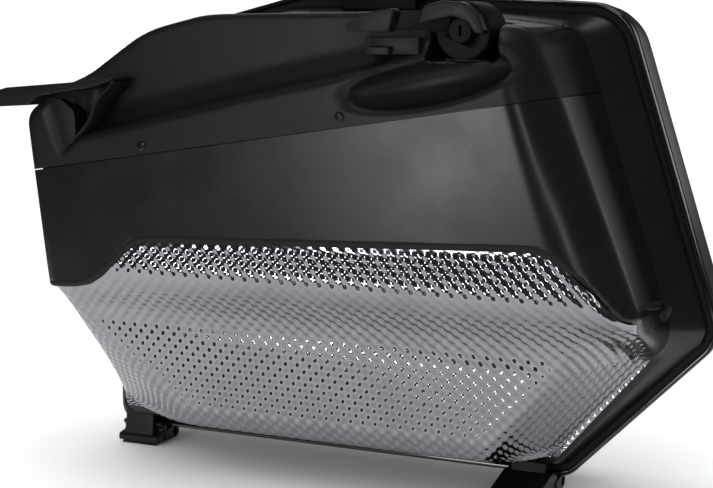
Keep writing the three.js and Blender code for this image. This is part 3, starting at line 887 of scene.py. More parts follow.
@dataclass
class HeatShield:
    """A thin sheet embossed with a staggered egg-crate pattern, wrapped round the recess."""

    case: CaseForm
    columns: int = 330
    rows: int = 140
    pitch_along: float = 11.0
    pitch_down: float = 11.2
    emboss: float = 1.0
    sheet: float = 1.2
    edge_inset: float = 0.8
    bottom_z: float = 37.5
    crest_z: tuple[float, float] = (171.0, 190.0)

    def levels(self) -> tuple[np.ndarray, np.ndarray, np.ndarray, np.ndarray]:
        """Level lines down the shield, each evened out along its length.

        Returns:
            (Z of each level, its distance down the profile, X by level and share, distance along by
            level and share).
        """
        z = np.linspace(229, self.bottom_z, 260)
        y = self.case.profile_y(z)
        down = np.concatenate([[0], np.cumsum(np.hypot(np.diff(z), np.diff(y)))])
        x = np.linspace(-300, 275, 800)
        shares = np.linspace(0, 1, 401)
        by_share, along = [], []
        for level in z:
            line_y = self.case.recess.at(x, np.full_like(x, level))
            side = self.case.envelope(x, line_y, np.full_like(x, level)) + self.edge_inset
            inside = np.nonzero(side < 0)[0]
            first, last = inside[0], inside[-1]
            start = np.interp(0, [side[first], side[first - 1]], [x[first], x[first - 1]])
            end = np.interp(0, [side[last], side[last + 1]], [x[last], x[last + 1]])
            run = np.linspace(start, end, 600)
            run_y = self.case.recess.at(run, np.full_like(run, level))
            length = np.concatenate([[0], np.cumsum(np.hypot(np.diff(run), np.diff(run_y)))])
            line_x = np.interp(shares * length[-1], length, run)
            by_share.append(line_x)
            along.append(shares * length[-1] - np.interp(-20, run, length))
        return z, down, np.array(by_share), np.array(along)

    def grid(self) -> tuple[np.ndarray, np.ndarray, np.ndarray]:
        """The sheet's smooth surface and the pattern's own coordinates on it.

        Returns:
            (points, distance along, distance down), each by row and column.
        """
        z, down, by_share, along = self.levels()
        lines = Chart(0, 0, 1, by_share)
        lengths = Chart(0, 0, 1, along)
        share = np.linspace(0, 1, self.columns)
        last = len(z) - 1.001
        above = z[:, None] - self.case.shield_top(
            lines.at(np.arange(len(z))[:, None] + 0 * share, 400 * share + 0 * z[:, None]))
        first = np.array([np.interp(0, -above[:, k], np.arange(len(z))) for k in range(self.columns)])
        top_down = np.interp(first, np.arange(len(z)), down)
        steps = np.linspace(0, 1, self.rows)[:, None]
        want = top_down + (down[-1] - top_down) * steps
        level = np.minimum(np.interp(want, down, np.arange(len(z))), last)
        at = np.broadcast_to(400 * share, level.shape)
        x = lines.at(level, at)
        height = np.interp(level, np.arange(len(z)), z)
        points = np.stack([x, self.case.recess.at(x, height), height], axis=-1)
        return points, lengths.at(level, at), want

    def embossing(self, points: np.ndarray, along: np.ndarray, down: np.ndarray) -> np.ndarray:
        """How far each point of the sheet is pressed out."""
        wave = np.cos(2 * math.pi * along / self.pitch_along) * np.cos(2 * math.pi * down / self.pitch_down)
        z = points[..., 2]
        low, high = self.crest_z
        crest = np.clip(np.minimum(z - low + 5, high - z + 3) / 6, 0, 1)
        rows, columns = z.shape
        edge = np.minimum(np.arange(rows), np.arange(rows)[::-1])[:, None] / 4
        side = np.minimum(np.arange(columns), np.arange(columns)[::-1])[None] / 4
        calm = np.clip(np.minimum(edge, side), 0, 1)
        return self.emboss * wave * (1 - 0.55 * crest) * calm

    def build(self) -> bpy.types.Object:
        """Builds and dresses the sheet."""
        points, along, down = self.grid()
        by_row, by_column = np.gradient(points, axis=0), np.gradient(points, axis=1)
        normal = np.cross(by_row, by_column)
        normal /= np.maximum(np.linalg.norm(normal, axis=-1, keepdims=True), 1e-9)
        outward = np.where(normal[..., 1:2] > 0, -1, 1)
        normal = normal * outward
        raised = points + normal * self.embossing(points, along, down)[..., None]
        rows, columns = points.shape[:2]
        count = rows * columns
        number = np.arange(count).reshape(rows, columns)
        quads = np.stack([number[:-1, :-1], number[:-1, 1:], number[1:, 1:], number[1:, :-1]], axis=-1)
        quads = quads.reshape(-1, 4)
        if outward[rows // 2, columns // 2, 0] < 0:
            quads = quads[:, ::-1] if normal[rows // 2, columns // 2, 1] > 0 else quads
        behind = points - normal * self.sheet
        border = np.concatenate([number[0, :-1], number[:-1, -1], number[-1, :0:-1], number[:0:-1, 0]])
        ring = np.stack([border, np.roll(border, -1), np.roll(border, -1) + count, border + count], axis=1)
        shell = np.concatenate([quads, quads[:, ::-1] + count, ring])
        made = mesh_object("heat_shield_sheet",
                           np.concatenate([raised.reshape(-1, 3), behind.reshape(-1, 3)]),
                           shell, 60)
        faces_out(made)
        crisped(made, 60)
        dress(made, Finishes.FOIL, "case")
        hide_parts("heat_shield")
        return made


# ------------------------------------------------------------------------------------------------
# repeated and routed pieces, made by geometry nodes


def node_tree(name: str, inputs: dict[str, tuple[str, object]]) -> tuple:
    """A geometry node tree with its inputs.

    Args:
        name: the tree's name.
        inputs: the socket type and starting value of each named input.
    Returns:
        (tree, group input node).
    """
    tree = bpy.data.node_groups.new(name, "GeometryNodeTree")
    tree.interface.new_socket("Geometry", in_out="INPUT", socket_type="NodeSocketGeometry")
    tree.interface.new_socket("Geometry", in_out="OUTPUT", socket_type="NodeSocketGeometry")
    for label, (kind, value) in inputs.items():
        socket = tree.interface.new_socket(label, in_out="INPUT", socket_type=kind)
        if value is not None:
            socket.default_value = value
    return tree, add(tree, "NodeGroupInput")


def run_tree(obj: bpy.types.Object, tree: bpy.types.NodeTree, values: dict[str, object]) -> None:
    """Runs a tree on an object and keeps the plain mesh.

    Args:
        obj: the object whose geometry goes in.
        tree: the node tree.
        values: what each named input is set to.
    """
    modifier = obj.modifiers.new(tree.name, "NODES")
    modifier.node_group = tree
    for item in tree.interface.items_tree:
        if item.item_type == "SOCKET" and item.in_out == "INPUT" and item.name in values:
            modifier[item.identifier] = values[item.name]
    settle_modifiers(obj)


def path_object(name: str, points: np.ndarray) -> bpy.types.Object:
    """A row of points joined by edges, in drawing millimetres."""
    mesh = bpy.data.meshes.new(name)
    mesh.from_pydata(placed(points).tolist(), [(k, k + 1) for k in range(len(points) - 1)], [])
    made = bpy.data.objects.new(name, mesh)
    bpy.context.scene.collection.objects.link(made)
    return made


def bead_tree(finish: Finish) -> bpy.types.NodeTree:
    """A tree that sweeps a round bead along a path."""
    tree, group = node_tree("bead along a path", {
        "Radius": ("NodeSocketFloat", 0.003), "Spacing": ("NodeSocketFloat", 0.004),
        "Sides": ("NodeSocketInt", 12),
    })
    curve = add(tree, "GeometryNodeMeshToCurve", {"Mesh": group.outputs["Geometry"]})
    even = add(tree, "GeometryNodeResampleCurve",
               {"Curve": curve.outputs[0], "Length": group.outputs["Spacing"]},
               mode="LENGTH")
    ring = add(tree, "GeometryNodeCurvePrimitiveCircle", {
        "Resolution": group.outputs["Sides"], "Radius": group.outputs["Radius"],
    })
    swept_bead = add(tree, "GeometryNodeCurveToMesh", {
        "Curve": even.outputs[0], "Profile Curve": ring.outputs[0], "Fill Caps": True,
    })
    smooth = add(tree, "GeometryNodeSetShadeSmooth", {"Geometry": swept_bead.outputs[0]})
    real = add(tree, "GeometryNodeRealizeInstances", {"Geometry": smooth.outputs[0]})
    dressed = add(tree, "GeometryNodeSetMaterial", {
        "Geometry": real.outputs[0], "Material": finish.material(),
    })
    add(tree, "NodeGroupOutput", {"Geometry": dressed.outputs[0]})
    return tree


def scatter_tree(name: str, piece: bpy.types.Object, finish: Finish, turn_deg: float) -> bpy.types.NodeTree:
    """A tree that sets a copy of one piece on every point, each turned a little by chance.

    Args:
        name: the tree's name.
        piece: the piece, made at the world's origin.
        finish: what the copies are made of.
        turn_deg: how far a copy may be turned about Y either way.
    Returns:
        The tree.
    """
    tree, group = node_tree(name, {"Scale": ("NodeSocketFloat", 1.0), "Seed": ("NodeSocketInt", 4)})
    source = add(tree, "GeometryNodeObjectInfo", {"Object": piece})
    most = math.radians(turn_deg)
    turn = add(tree, "FunctionNodeRandomValue", {
        "Min": (0, -most, 0), "Max": (0, most, 0), "Seed": group.outputs["Seed"],
    }, data_type="FLOAT_VECTOR")
    copies = add(tree, "GeometryNodeInstanceOnPoints", {
        "Points": group.outputs["Geometry"], "Instance": source.outputs["Geometry"],
        "Rotation": turn.outputs[0], "Scale": group.outputs["Scale"],
    })
    real = add(tree, "GeometryNodeRealizeInstances", {"Geometry": copies.outputs[0]})
    dressed = add(tree, "GeometryNodeSetMaterial", {
        "Geometry": real.outputs[0], "Material": finish.material(),
    })
    add(tree, "NodeGroupOutput", {"Geometry": dressed.outputs[0]})
    return tree


def turned(name: str, profile: Points, around: int = 24) -> bpy.types.Object:
    """A piece turned about the Y axis at the world's origin.

    Args:
        name: the object's name.
        profile: (radius, y) in millimetres from one end of the axis to the other.
        around: its sides.
    Returns:
        The object.
    """
    sheet = bmesh.new()
    rings = []
    for radius, y in profile:
        if radius < 0.01:
            rings.append([sheet.verts.new((0, y * MM, 0))])
            continue
        angles = [2 * math.pi * k / around for k in range(around)]
        rings.append([sheet.verts.new((radius * MM * math.cos(a), y * MM, radius * MM * math.sin(a)))
                      for a in angles])
    for low, high in zip(rings, rings[1:]):
        for k in range(around):
            n = (k + 1) % around
            corners = [low[k % len(low)], low[n % len(low)], high[n % len(high)], high[k % len(high)]]
            unique = list(dict.fromkeys(corners))
            sheet.faces.new(unique)
    bmesh.ops.recalc_face_normals(sheet, faces=sheet.faces)
    mesh = bpy.data.meshes.new(name)
    sheet.to_mesh(mesh)
    sheet.free()
    made = bpy.data.objects.new(name, mesh)
    bpy.context.scene.collection.objects.link(made)
    crisped(made, 30)
    return made


def cross_recess_screw(head_radius: float, head_height: float) -> bpy.types.Object:
    """A pan-head screw's head with a cross recess, facing -Y, its seat at the world's origin."""
    r, h = head_radius, head_height
    head = turned("screw_head", [(0, 0), (r, 0), (r, -0.45 * h), (0.9 * r, -0.8 * h),
                                 (0.62 * r, -h), (0, -h)])
    for wide, tall in ((0.22 * r, 0.62 * r), (0.62 * r, 0.22 * r)):
        corners = [(x * wide * MM, y * MM, z * tall * MM)
                   for x, y, z in product((-1, 1), (-h - 1, -0.45 * h), (-1, 1))]
        slot = bpy.data.meshes.new("slot")
        slot.from_pydata(corners, [], [(0, 1, 3, 2), (4, 6, 7, 5), (0, 4, 5, 1), (2, 3, 7, 6),
                                       (0, 2, 6, 4), (1, 5, 7, 3)])
        tool = bpy.data.objects.new("slot", slot)
        bpy.context.scene.collection.objects.link(tool)
        faces_out(tool)
        carved(head, tool, "DIFFERENCE")
    crisped(head, 30)
    return head


class ScrewKind(Enum):
    """The screws that hold the case together, as head radius and height in millimetres."""

    PANEL = (4.4, 2.6)


@dataclass
class ScrewRow:
    """Screws of one kind on one body."""

    name: str
    kind: ScrewKind
    seats: Points
    body: str
    stands_for: tuple[str, ...] = ()
    seed: int = 7

    def build(self) -> bpy.types.Object:
        """Builds and dresses the screws."""
        head = cross_recess_screw(*self.kind.value)
        seats = path_object(self.name, np.array(self.seats, float))
        tree = scatter_tree(self.name + " on seats", head, Finishes.BLACKED, 40)
        run_tree(seats, tree, {"Scale": 1.0, "Seed": self.seed})
        bpy.data.objects.remove(head)
        dress(seats, Finishes.BLACKED, self.body)
        if self.stands_for:
            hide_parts(*self.stands_for)
        return seats


@dataclass
class ShieldGasket:
    """The rubber bead that seals the shield's upper edge against the wall."""

    case: CaseForm
    radius: float = 3.4
    start_x: float = -281.0
    end_x: float = 246.0
    rise: float = 2.6

    def build(self) -> bpy.types.Object:
        """Builds and dresses the bead along the shield's upper edge."""
        x = np.linspace(self.start_x, self.end_x, 260)
        z = self.case.shield_top(x) + self.rise
        z = np.convolve(np.pad(z, 6, mode="edge"), np.ones(13) / 13, mode="valid")
        tries = np.linspace(-113, 30, 400)
        grid = np.stack(np.broadcast_arrays(x[:, None], tries[None], z[:, None] + 7), axis=-1)
        met = both(self.case.envelope(*np.moveaxis(grid, -1, 0)), self.case.inboard_y - grid[..., 1],
                   self.case.rounding(grid[..., 0])) < 0
        y = tries[np.argmax(met, axis=1)] + self.radius - 1.4
        y = np.convolve(np.pad(y, 4, mode="edge"), np.ones(9) / 9, mode="valid")
        bead = path_object("shield_gasket", np.stack([x, y, z], axis=1))
        run_tree(bead, bead_tree(Finishes.RUBBER),
                 {"Radius": self.radius * MM, "Spacing": 0.003, "Sides": 14})
        faces_out(bead)
        dress(bead, Finishes.RUBBER, "case")
        return bead


# ------------------------------------------------------------------------------------------------
# the lid


@dataclass
class Lid:
    """The outer half of the case: a deep frame, a crowned cover let into it, and a lacquered rim trim."""

    case: CaseForm
    around: int = 440
    wall: float = 3.0
    frame_profile: Points = (
        (46.0, 0.0), (47.0, -0.0), (60, 0.9), (76, 2.0), (92, 4.4), (104, 7.2), (112, 9.4), (117, 11.2),
        (118.6, 12.4),
    )
    cover_profile: Points = (
        (119.1, 14.2), (120.0, 13.0), (122, 16.5), (124.6, 20.5), (126.6, 25), (128, 30), (128.6, 34),
    )
    groove_profile: Points = ((128.6, 36), (127.2, 37.2), (127.2, 40.2), (128.8, 41.6))
    crown_y: float = 130.0
    trim_profile: Points = (
        (36.2, 3.4), (36.0, 2.6), (36.0, 1.2), (36.9, 0.25), (38.5, 0.0), (43.4, 0.0), (45.0, 0.3),
        (45.5, 1.2), (45.5, 3.4),
    )

    def ring(self, y: float, inset: float) -> np.ndarray:
        """One ring of the lid at a depth, moved in from the rim's outline."""
        corners = self.inset_corners(inset)
        outline = rounded_outline(corners, arc_steps=14)
        length = np.concatenate([[0], np.cumsum(np.linalg.norm(np.diff(outline, axis=0), axis=1))])
        total = length[-1] + np.linalg.norm(outline[0] - outline[-1])
        closed = np.vstack([outline, outline[:1]])
        at = np.linspace(0, total, self.around, endpoint=False)
        x = np.interp(at, np.append(length, total), closed[:, 0])
        z = np.interp(at, np.append(length, total), closed[:, 1])
        return np.stack([x, np.full_like(x, y), z], axis=1)

    def inset_corners(self, inset: float) -> list[tuple[float, float, float]]:
        """The rim's corners moved in by a distance, with the radii reduced to suit."""
        rim = np.array(self.case.rim, float)
        made = []
        for k, (x, z, radius) in enumerate(rim):
            before, after = rim[k - 1][:2] - (x, z), rim[(k + 1) % len(rim)][:2] - (x, z)
            before, after = before / np.linalg.norm(before), after / np.linalg.norm(after)
            half = math.acos(float(np.clip(before @ after, -1, 1))) / 2
            inwards = (before + after) / np.linalg.norm(before + after)
            moved = np.array([x, z]) + inwards * inset / math.sin(half)
            made.append((moved[0], moved[1], max(6.0, radius - 0.45 * inset)))
        return made

    def tray(self, name: str, outer: Points, depth_rings: list[np.ndarray]) -> bpy.types.Object:
        """A closed band or tray from an outer profile and the rings that lead back inside."""
        rings = [self.ring(y, inset) for y, inset in outer] + depth_rings
        points, faces = swept(np.array(rings), closed=True)
        made = mesh_object(name, points, faces, 32)
        faces_out(made)
        crisped(made, 32)
        return made

    def frame(self) -> bpy.types.Object:
        """The lid's deep side walls."""
        inner = [self.ring(y, inset + self.wall) for y, inset in self.frame_profile[::-1]]
        made = self.tray("lid_frame", self.frame_profile, inner)
        dress(made, Finishes.LID, "lid")
        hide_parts("lid_shell")
        return made

    def cover(self) -> bpy.types.Object:
        """The crowned outer cover, with a styling groove round its field."""
        rings = [self.ring(y, inset) for y, inset in self.cover_profile + self.groove_profile]
        field_ring = self.ring(*self.groove_profile[-1])
        middle = field_ring.mean(axis=0)
        shares = np.linspace(0.0, 0.97, 12)[1:]
        for share in shares:
            ring = middle + (field_ring - middle) * (1 - share)
            ring[:, 1] = 128.8 + (self.crown_y - 0.2 - 128.8) * math.sin(share * math.pi / 2)
            rings.append(ring)
        outer = np.array(rings)
        inner = outer.copy()
        inner[:, :, 1] -= self.wall
        stack = np.concatenate([outer, inner[::-1]])
        points, faces = swept(stack)
        faces = faces[:-2]
        rows = len(stack)
        last = len(outer) - 1
        faces = [f for k, f in enumerate(faces) if k // self.around != last]
        cap = [last * self.around + k for k in range(self.around)]
        back = [(last + 1) * self.around + k for k in range(self.around)]
        foot = [[k, (rows - 1) * self.around + k, (rows - 1) * self.around + (k + 1) % self.around,
                 (k + 1) % self.around] for k in range(self.around)]
        made = mesh_object("lid_cover_moulding", points, faces + [cap, back[::-1]] + foot, 32)
        faces_out(made)
        crisped(made, 32)
        dress(made, Finishes.LID, "lid")
        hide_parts("lid_cover")
        return made

    def trim(self) -> bpy.types.Object:
        """The gloss trim round the rim."""
        made = self.tray("rim_trim", self.trim_profile, [])
        dress(made, Finishes.GLOSS, "lid")
        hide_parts("lid_trim")
        return made

    def build(self) -> list[bpy.types.Object]:
        """Builds and dresses the lid's mouldings and its seal."""
        frame["nodes"]["lid_seal"].data.materials.clear()
        frame["nodes"]["lid_seal"].data.materials.append(Finishes.RUBBER.material())
        return [self.frame(), self.cover(), self.trim()]


# ------------------------------------------------------------------------------------------------
# small hardware


@dataclass(frozen=True)
class SmallPart:
    """A CAD node that keeps its shape and gets rounded edges and a finish."""

    node: str
    finish: Finish
    round_mm: float = 0.8


@dataclass
class Hardware:
    """The claw's pin and lock, slide, plate, handle, latch and hinges, with their edges rounded as moulded or ground."""

    parts: tuple[SmallPart, ...] = (
        SmallPart("claw_pin", Finishes.STEEL, 0.4),
        SmallPart("claw_lock", Finishes.SHADE_DARKENED_PIVOT, 0.6),
        SmallPart("release_slide", Finishes.PANEL, 0.8),
        SmallPart("slide_guide", Finishes.PANEL, 0.5),
        SmallPart("top_plate", Finishes.PANEL, 0.8),
        SmallPart("carry_handle", Finishes.RUBBER, 1.5),
        SmallPart("handle_pin_front", Finishes.STEEL, 0.3),
        SmallPart("handle_pin_rear", Finishes.STEEL, 0.3),
        SmallPart("latch_base", Finishes.PANEL, 0.8),
        SmallPart("latch_pin", Finishes.STEEL, 0.3),
        SmallPart("latch_lever", Finishes.PANEL, 1.0),
        SmallPart("latch_striker", Finishes.SHADE_DARKENED_PIVOT, 0.5),
        SmallPart("hinge_leaf_front", Finishes.BLACKED, 0.6),
        SmallPart("hinge_leaf_rear", Finishes.BLACKED, 0.6),
        SmallPart("hinge_pin_front", Finishes.STEEL, 0.3),
        SmallPart("hinge_pin_rear", Finishes.STEEL, 0.3),
        SmallPart("foot_front", Finishes.RUBBER, 0.3),
        SmallPart("foot_rear", Finishes.RUBBER, 0.3),
        SmallPart("shield_pad_upper", Finishes.FOAM, 0.3),
        SmallPart("shield_pad_lower_front", Finishes.FOAM, 0.3),
        SmallPart("shield_pad_lower_rear", Finishes.FOAM, 0.3),
    )

    def body_of(self, node_name: str) -> str:
        """The CAD body that a node belongs to."""
        groups = frame["record"]["behaviour"]["bodies"]
        return next(body for body, nodes in groups.items() if node_name in nodes)

    def build(self) -> list[bpy.types.Object]:
        """Builds and dresses every part."""
        made = []
        for part in self.parts:
            obj = softened(part.node, part.round_mm)
            dress(obj, part.finish, self.body_of(part.node))
            made.append(obj)
        return made


def extruded(
    name: str, outline: np.ndarray, low: float, high: float, place: Callable, bevel_mm: float,
) -> bpy.types.Object:
    """A flat-sided piece with rounded edges.

    Args:
        name: the object's name.
        outline: the outline's points, two numbers each.
        low: the height of its low end.
        high: the height of its high end.
        place: turns (u, v, height) into X, Y and Z.
        bevel_mm: how wide each edge's rounding is.
    Returns:
        The object, with its faces out.
    """
    made = prism(name, outline, lambda u, v: low, lambda u, v: high, place)
    faces_out(made)
    bevel = made.modifiers.new("edges", "BEVEL")
    bevel.width = bevel_mm * MM
    bevel.segments = 3
    bevel.limit_method = "ANGLE"
    bevel.angle_limit = math.radians(40)
    settle_modifiers(made)
    crisped(made, 40)
    return made


def joined(name: str, parts: list[bpy.types.Object]) -> bpy.types.Object:
    """Several pieces made one object, each still a closed body."""
    sheet = bmesh.new()
    for part in parts:
        sheet.from_mesh(part.data)
        bpy.data.objects.remove(part)
    mesh = bpy.data.meshes.new(name)
    sheet.to_mesh(mesh)
    sheet.free()
    made = bpy.data.objects.new(name, mesh)
    bpy.context.scene.collection.objects.link(made)
    crisped(made, 40)
    return made


def along_x(u: float, v: float, height: float) -> tuple[float, float, float]:
    """Y and Z in an outline, X along it."""
    return (height, u, v)


def along_y(u: float, v: float, height: float) -> tuple[float, float, float]:
    """X and Z in an outline, Y along it."""
    return (u, height, v)


@dataclass
class HingeFoot:
    """A bottom hinge's foot: a low skid, a web up to the shell and two knuckles round the pin."""

    name: str
    node: str
    x0: float
    x1: float
    inboard: float
    pin: tuple[float, float, float] = (49.0, 8.0, 6.0)
    knuckle: float = 11.8

    def build(self) -> bpy.types.Object:
        """Builds and dresses the foot."""
        y, z, r = self.pin
        tip = self.inboard
        skid = [(tip, 3, 1.5), (tip + 3, 2, 1), (34, 2, 2), (36, 8, 2), (34, 20, 5), (20, 21, 5),
                (tip + 16, 11.5, 6), (tip, 9, 3)]
        web = [(18, 6, 1), (32, 6, 1), (33, 22, 4), (30, 58, 3), (23, 58, 3), (20, 22, 6)]
        parts = [
            extruded("skid", rounded_outline(skid), self.x0 + 1, self.x1 - 1, along_x, 1.2),
            extruded("web", rounded_outline(web), self.x0 + 7, self.x1 - 7, along_x, 1.2),
        ]
        arm = [(30, 2, 1), (y, z - r, 0.1), (y, z + r, 0.1), (30, 12, 1)]
        turns = [(y + r * math.cos(a), z + r * math.sin(a)) for a in np.linspace(0, 2 * math.pi, 33)[:-1]]
        for start in (self.x0, self.x1 - self.knuckle):
            parts.append(extruded("arm", rounded_outline(arm), start, start + self.knuckle, along_x, 0.6))
            parts.append(extruded("knuckle", np.array(turns), start, start + self.knuckle, along_x, 0.8))
        made = joined(self.name, parts)
        dress(made, Finishes.PANEL, "case")
        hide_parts(self.node)
        return made


@dataclass
class Claw:
    """The swinging claw: a flat paddle, a set-back neck, and a hub under a domed cap."""

    axis: tuple[float, float] = (104.0, 384.0)
    hub_radius: float = 21.5
    hub_y: tuple[float, float] = (-99.0, -62.0)
    paddle: Points = (
        (14.5, 388, 3), (29, 397, 4), (55, 400.5, 2), (50, 383, 2), (16, 383, 2),
    )
    neck: Points = ((44, 386, 1), (96, 382, 1), (96, 400, 1), (46, 398, 1))
    cap: Points = (
        (73, 389, 1.5), (77, 401.5, 5), (92, 405.5, 10), (108, 404.5, 10), (120, 396, 8), (125, 382, 2),
        (117.5, 382, 2), (112, 390.5, 6), (100, 394.5, 8),
    )
    barrel_bore: tuple[float, float, float] = (9.4, -130.0, -80.0)
    pin_bore: tuple[float, float, float] = (4.05, -90.0, -55.0)

    def disc(self, name: str, radius: float, low: float, high: float, bevel_mm: float) -> bpy.types.Object:
        """A disc about the claw's axis."""
        x, z = self.axis
        rim = [(x + radius * math.cos(a), z + radius * math.sin(a))
               for a in np.linspace(0, 2 * math.pi, 49)[:-1]]
        return extruded(name, np.array(rim), low, high, along_y, bevel_mm)

    def build(self) -> bpy.types.Object:
        """Builds and dresses the claw, bored for its lock and its pin."""
        hub = self.disc("hub", self.hub_radius, *self.hub_y, 1.6)
        neck = extruded("neck", rounded_outline(self.neck), -103.5, -97.0, along_y, 0.6)
        carved(hub, neck, "UNION")
        for bore in (self.barrel_bore, self.pin_bore):
            carved(hub, self.disc("bore", *bore, 0.01), "DIFFERENCE")
        hub.name = "claw_hub"
        # the hub and neck take a blacker finish than the cap and paddle: painted shade for the shadow behind
        # the cap
        dress(hub, Finishes.SHADE_DARKENED_PIVOT, "claw")
        parts = [
            extruded("paddle", rounded_outline(self.paddle), -111.8, -99.0, along_y, 1.2),
            extruded("cap", rounded_outline(self.cap), -111.8, -94.0, along_y, 2.0),
        ]
        made = joined("claw_moulding", parts)
        dress(made, Finishes.PANEL, "claw")
        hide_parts("claw")
        return made


@dataclass
class HookPlate:
    """The carrier hook: a flat plate that stands out forwards, its lip turned down at the tip."""

    outline: Points = (
        (-346, 318.5, 1.5), (-277, 322.5, 1.5), (-265, 331.0, 3), (-214, 338.0, 8),
        (-192.5, 344.5, 1), (-194, 346.5, 1), (-234, 342.0, 20), (-298, 337.0, 6), (-346, 325.0, 2),
    )
    front_y: float = -115.8
    back_y: float = -85.8
    rib_outline: Points = ((-258, 300, 3), (-243, 290, 2), (-236, 292, 2), (-236.5, 318, 9), (-250, 328, 8),
                           (-266, 330, 3))
    rib_y: tuple[float, float] = (-106.0, -88.0)

    def build(self) -> bpy.types.Object:
        """Builds and dresses the hook with the rib beneath it."""
        plate = extruded("plate", rounded_outline(self.outline), self.front_y, self.back_y, along_y, 0.8)
        rib = extruded("rib", rounded_outline(self.rib_outline), *self.rib_y, along_y, 1.0)
        made = joined("rail_hook", [plate, rib])
        dress(made, Finishes.PANEL, "case")
        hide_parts("front_hook")
        return made


@dataclass
class HookWeb:
    """The thin S-shaped web that carries the hook's plate down to the panel."""

    path: Points = (
        (-194.5, 344), (-199.5, 337.5), (-208.5, 330.5), (-214, 322.5), (-217.5, 313), (-225.5, 303),
        (-236.5, 294),
    )
    thickness: float = 2.6
    front_y: float = -111.6
    back_y: float = -84.0

    def build(self) -> bpy.types.Object:
        """Builds and dresses the web."""
        line = np.array(self.path, float)
        fine = np.linspace(0, len(line) - 1, 40)
        u = np.interp(fine, np.arange(len(line)), line[:, 0])
        v = np.interp(fine, np.arange(len(line)), line[:, 1])
        for _ in range(6):
            u[1:-1] = (u[:-2] + u[1:-1] * 2 + u[2:]) / 4
            v[1:-1] = (v[:-2] + v[1:-1] * 2 + v[2:]) / 4
        tangent = np.stack([np.gradient(u), np.gradient(v)], axis=1)
        tangent /= np.linalg.norm(tangent, axis=1, keepdims=True)
        across = np.stack([-tangent[:, 1], tangent[:, 0]], axis=1) * self.thickness / 2
        soft = 0.9
        section = [(1, self.back_y), (1, self.front_y + soft), (0.45, self.front_y), (-0.45, self.front_y),
                   (-1, self.front_y + soft), (-1, self.back_y)]
        rings = np.array([[(u[k] + s * across[k, 0], y, v[k] + s * across[k, 1]) for s, y in section]
                          for k in range(len(u))])
        made = mesh_object("hook_web", *swept(rings), 40)
        faces_out(made)
        crisped(made, 40)
        dress(made, Finishes.PANEL, "case")
        return made


# ------------------------------------------------------------------------------------------------
# studio


@dataclass(frozen=True)
class Softbox:
    """A soft area light that faces the case."""

    name: str
    azimuth_deg: float
    height: float
    distance: float
    size: tuple[float, float]
    watts: float

    def build(self, target: Vector) -> None:
        """Hangs the light, facing the target."""
        angle = math.radians(self.azimuth_deg)
        place = Vector((target.x + self.distance * math.sin(angle),
                        target.y - self.distance * math.cos(angle), self.height))
        lamp = bpy.data.lights.new(self.name, "AREA")
        lamp.shape = "RECTANGLE"
        lamp.size, lamp.size_y = self.size
        lamp.energy = self.watts
        made = bpy.data.objects.new(self.name, lamp)
        made.location = place
        made.visible_camera = False
        made.rotation_euler = (target - place).to_track_quat("-Z", "Y").to_euler()
        bpy.context.scene.collection.objects.link(made)


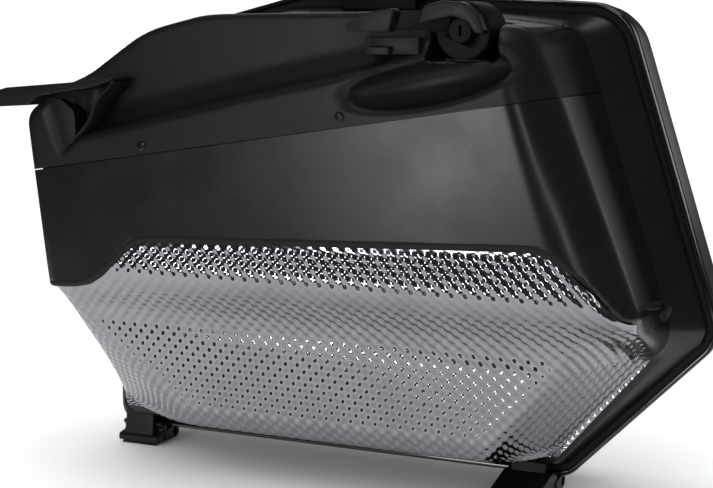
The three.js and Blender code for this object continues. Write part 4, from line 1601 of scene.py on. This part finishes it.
@dataclass
class Studio:
    """A pale floor in soft light, and the camera."""

    eye_mm: tuple[float, float, float] = (502.2, -1137.0, 382.0)
    target_mm: tuple[float, float, float] = (0.0, -60.0, 215.0)
    lens_mm: float = 75.74
    floor_half: float = 1.0
    floor_back: float = 0.35  # the floor lies mostly behind the case, so that the walls mirror little of it
    softboxes: tuple[Softbox, ...] = (
        Softbox("key softbox", -18, 0.40, 1.7, (0.22, 0.78), 6.5),
        Softbox("overhead softbox", 20, 1.9, 0.25, (1.5, 1.1), 9),
        Softbox("narrow strip", 34, 0.45, 1.6, (0.1, 1.2), 2.5),
        Softbox("rear softbox", 156, 0.56, 1.6, (0.5, 0.6), 0.7),
        Softbox("back softbox", 208, 1.4, 1.5, (1.4, 0.9), 5),
    )

    def camera(self) -> None:
        """Sets the camera up level, on the case's motorcycle side."""
        eye, target = (Vector(placed(np.array(p))) for p in (self.eye_mm, self.target_mm))
        lens = bpy.data.cameras.new("camera")
        lens.lens = self.lens_mm
        lens.sensor_width = 36
        lens.sensor_fit = "HORIZONTAL"
        lens.clip_end = 50
        made = bpy.data.objects.new("camera", lens)
        made.location = eye
        made.rotation_euler = (target - eye).to_track_quat("-Z", "Y").to_euler()
        bpy.context.scene.collection.objects.link(made)
        bpy.context.scene.camera = made

    def floor(self) -> None:
        """Lays the pale floor at the height that the case stands on."""
        mesh = bpy.data.meshes.new("floor")
        half = self.floor_half
        near, far = self.floor_back - half, self.floor_back + half
        mesh.from_pydata([(-half, near, 0), (half, near, 0), (half, far, 0), (-half, far, 0)], [],
                         [(0, 1, 2, 3)])
        made = bpy.data.objects.new("floor", mesh)
        made.location.z = CAD_BOX[0][2] - 0.0002
        bpy.context.scene.collection.objects.link(made)
        mesh.materials.append(Finish("matt white laminate", "#f4f4f4", "#f1f1f1", 0.8, 0.02, specular=0.1,
                                     grain_depth_mm=0.0).material())

    def world(self) -> None:
        """A white room, dim in reflections so that the dark plastic keeps its tone."""
        world = bpy.data.worlds.new("studio")
        bpy.context.scene.world = world
        world.use_nodes = True
        tree = world.node_tree
        tree.nodes.clear()
        ray = add(tree, "ShaderNodeLightPath")
        seen = add(tree, "ShaderNodeMapRange", {
            "Value": ray.outputs["Is Glossy Ray"], "To Min": 1.1, "To Max": 0.05,
        })
        strength = add(tree, "ShaderNodeMath", {0: seen.outputs[0], 1: ray.outputs["Is Camera Ray"]},
                       operation="MAXIMUM")
        light = add(tree, "ShaderNodeBackground", {"Color": (1, 1, 1, 1), "Strength": strength.outputs[0]})
        add(tree, "ShaderNodeOutputWorld", {"Surface": light.outputs[0]})

    def build(self) -> None:
        """Builds the floor, the lights and the camera."""
        scene = bpy.context.scene
        scene.view_settings.view_transform = "Standard"
        scene.view_settings.look = "None"
        self.camera()
        self.floor()
        self.world()
        target = Vector(placed(np.array(self.target_mm)))
        for softbox in self.softboxes:
            softbox.build(target)


# ------------------------------------------------------------------------------------------------


def main() -> None:
    """Builds the case in order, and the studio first."""
    logging.basicConfig(level=logging.INFO, format="%(name)s: %(message)s")
    Studio().build()
    case = CaseForm()
    walls = MouldedWalls(PanelForm(case))
    walls.build()
    SeamLip(walls).build()
    HeatShield(case).build()
    ShieldGasket(case).build()
    Lid(case).build()
    Hardware().build()
    Claw().build()
    HookPlate().build()
    HookWeb().build()
    HingeFoot("hinge_foot_front", "hinge_base_front", -284, -240, 16).build()
    HingeFoot("hinge_foot_rear", "hinge_base_rear", 98, 142, -40).build()
    ScrewRow("panel_screws", ScrewKind.PANEL, ((-169, -108.6, 291.5), (9, -108.6, 319)), "case",
             ("panel_screw_1", "panel_screw_2")).build()


if __name__ == "__main__":
    main()
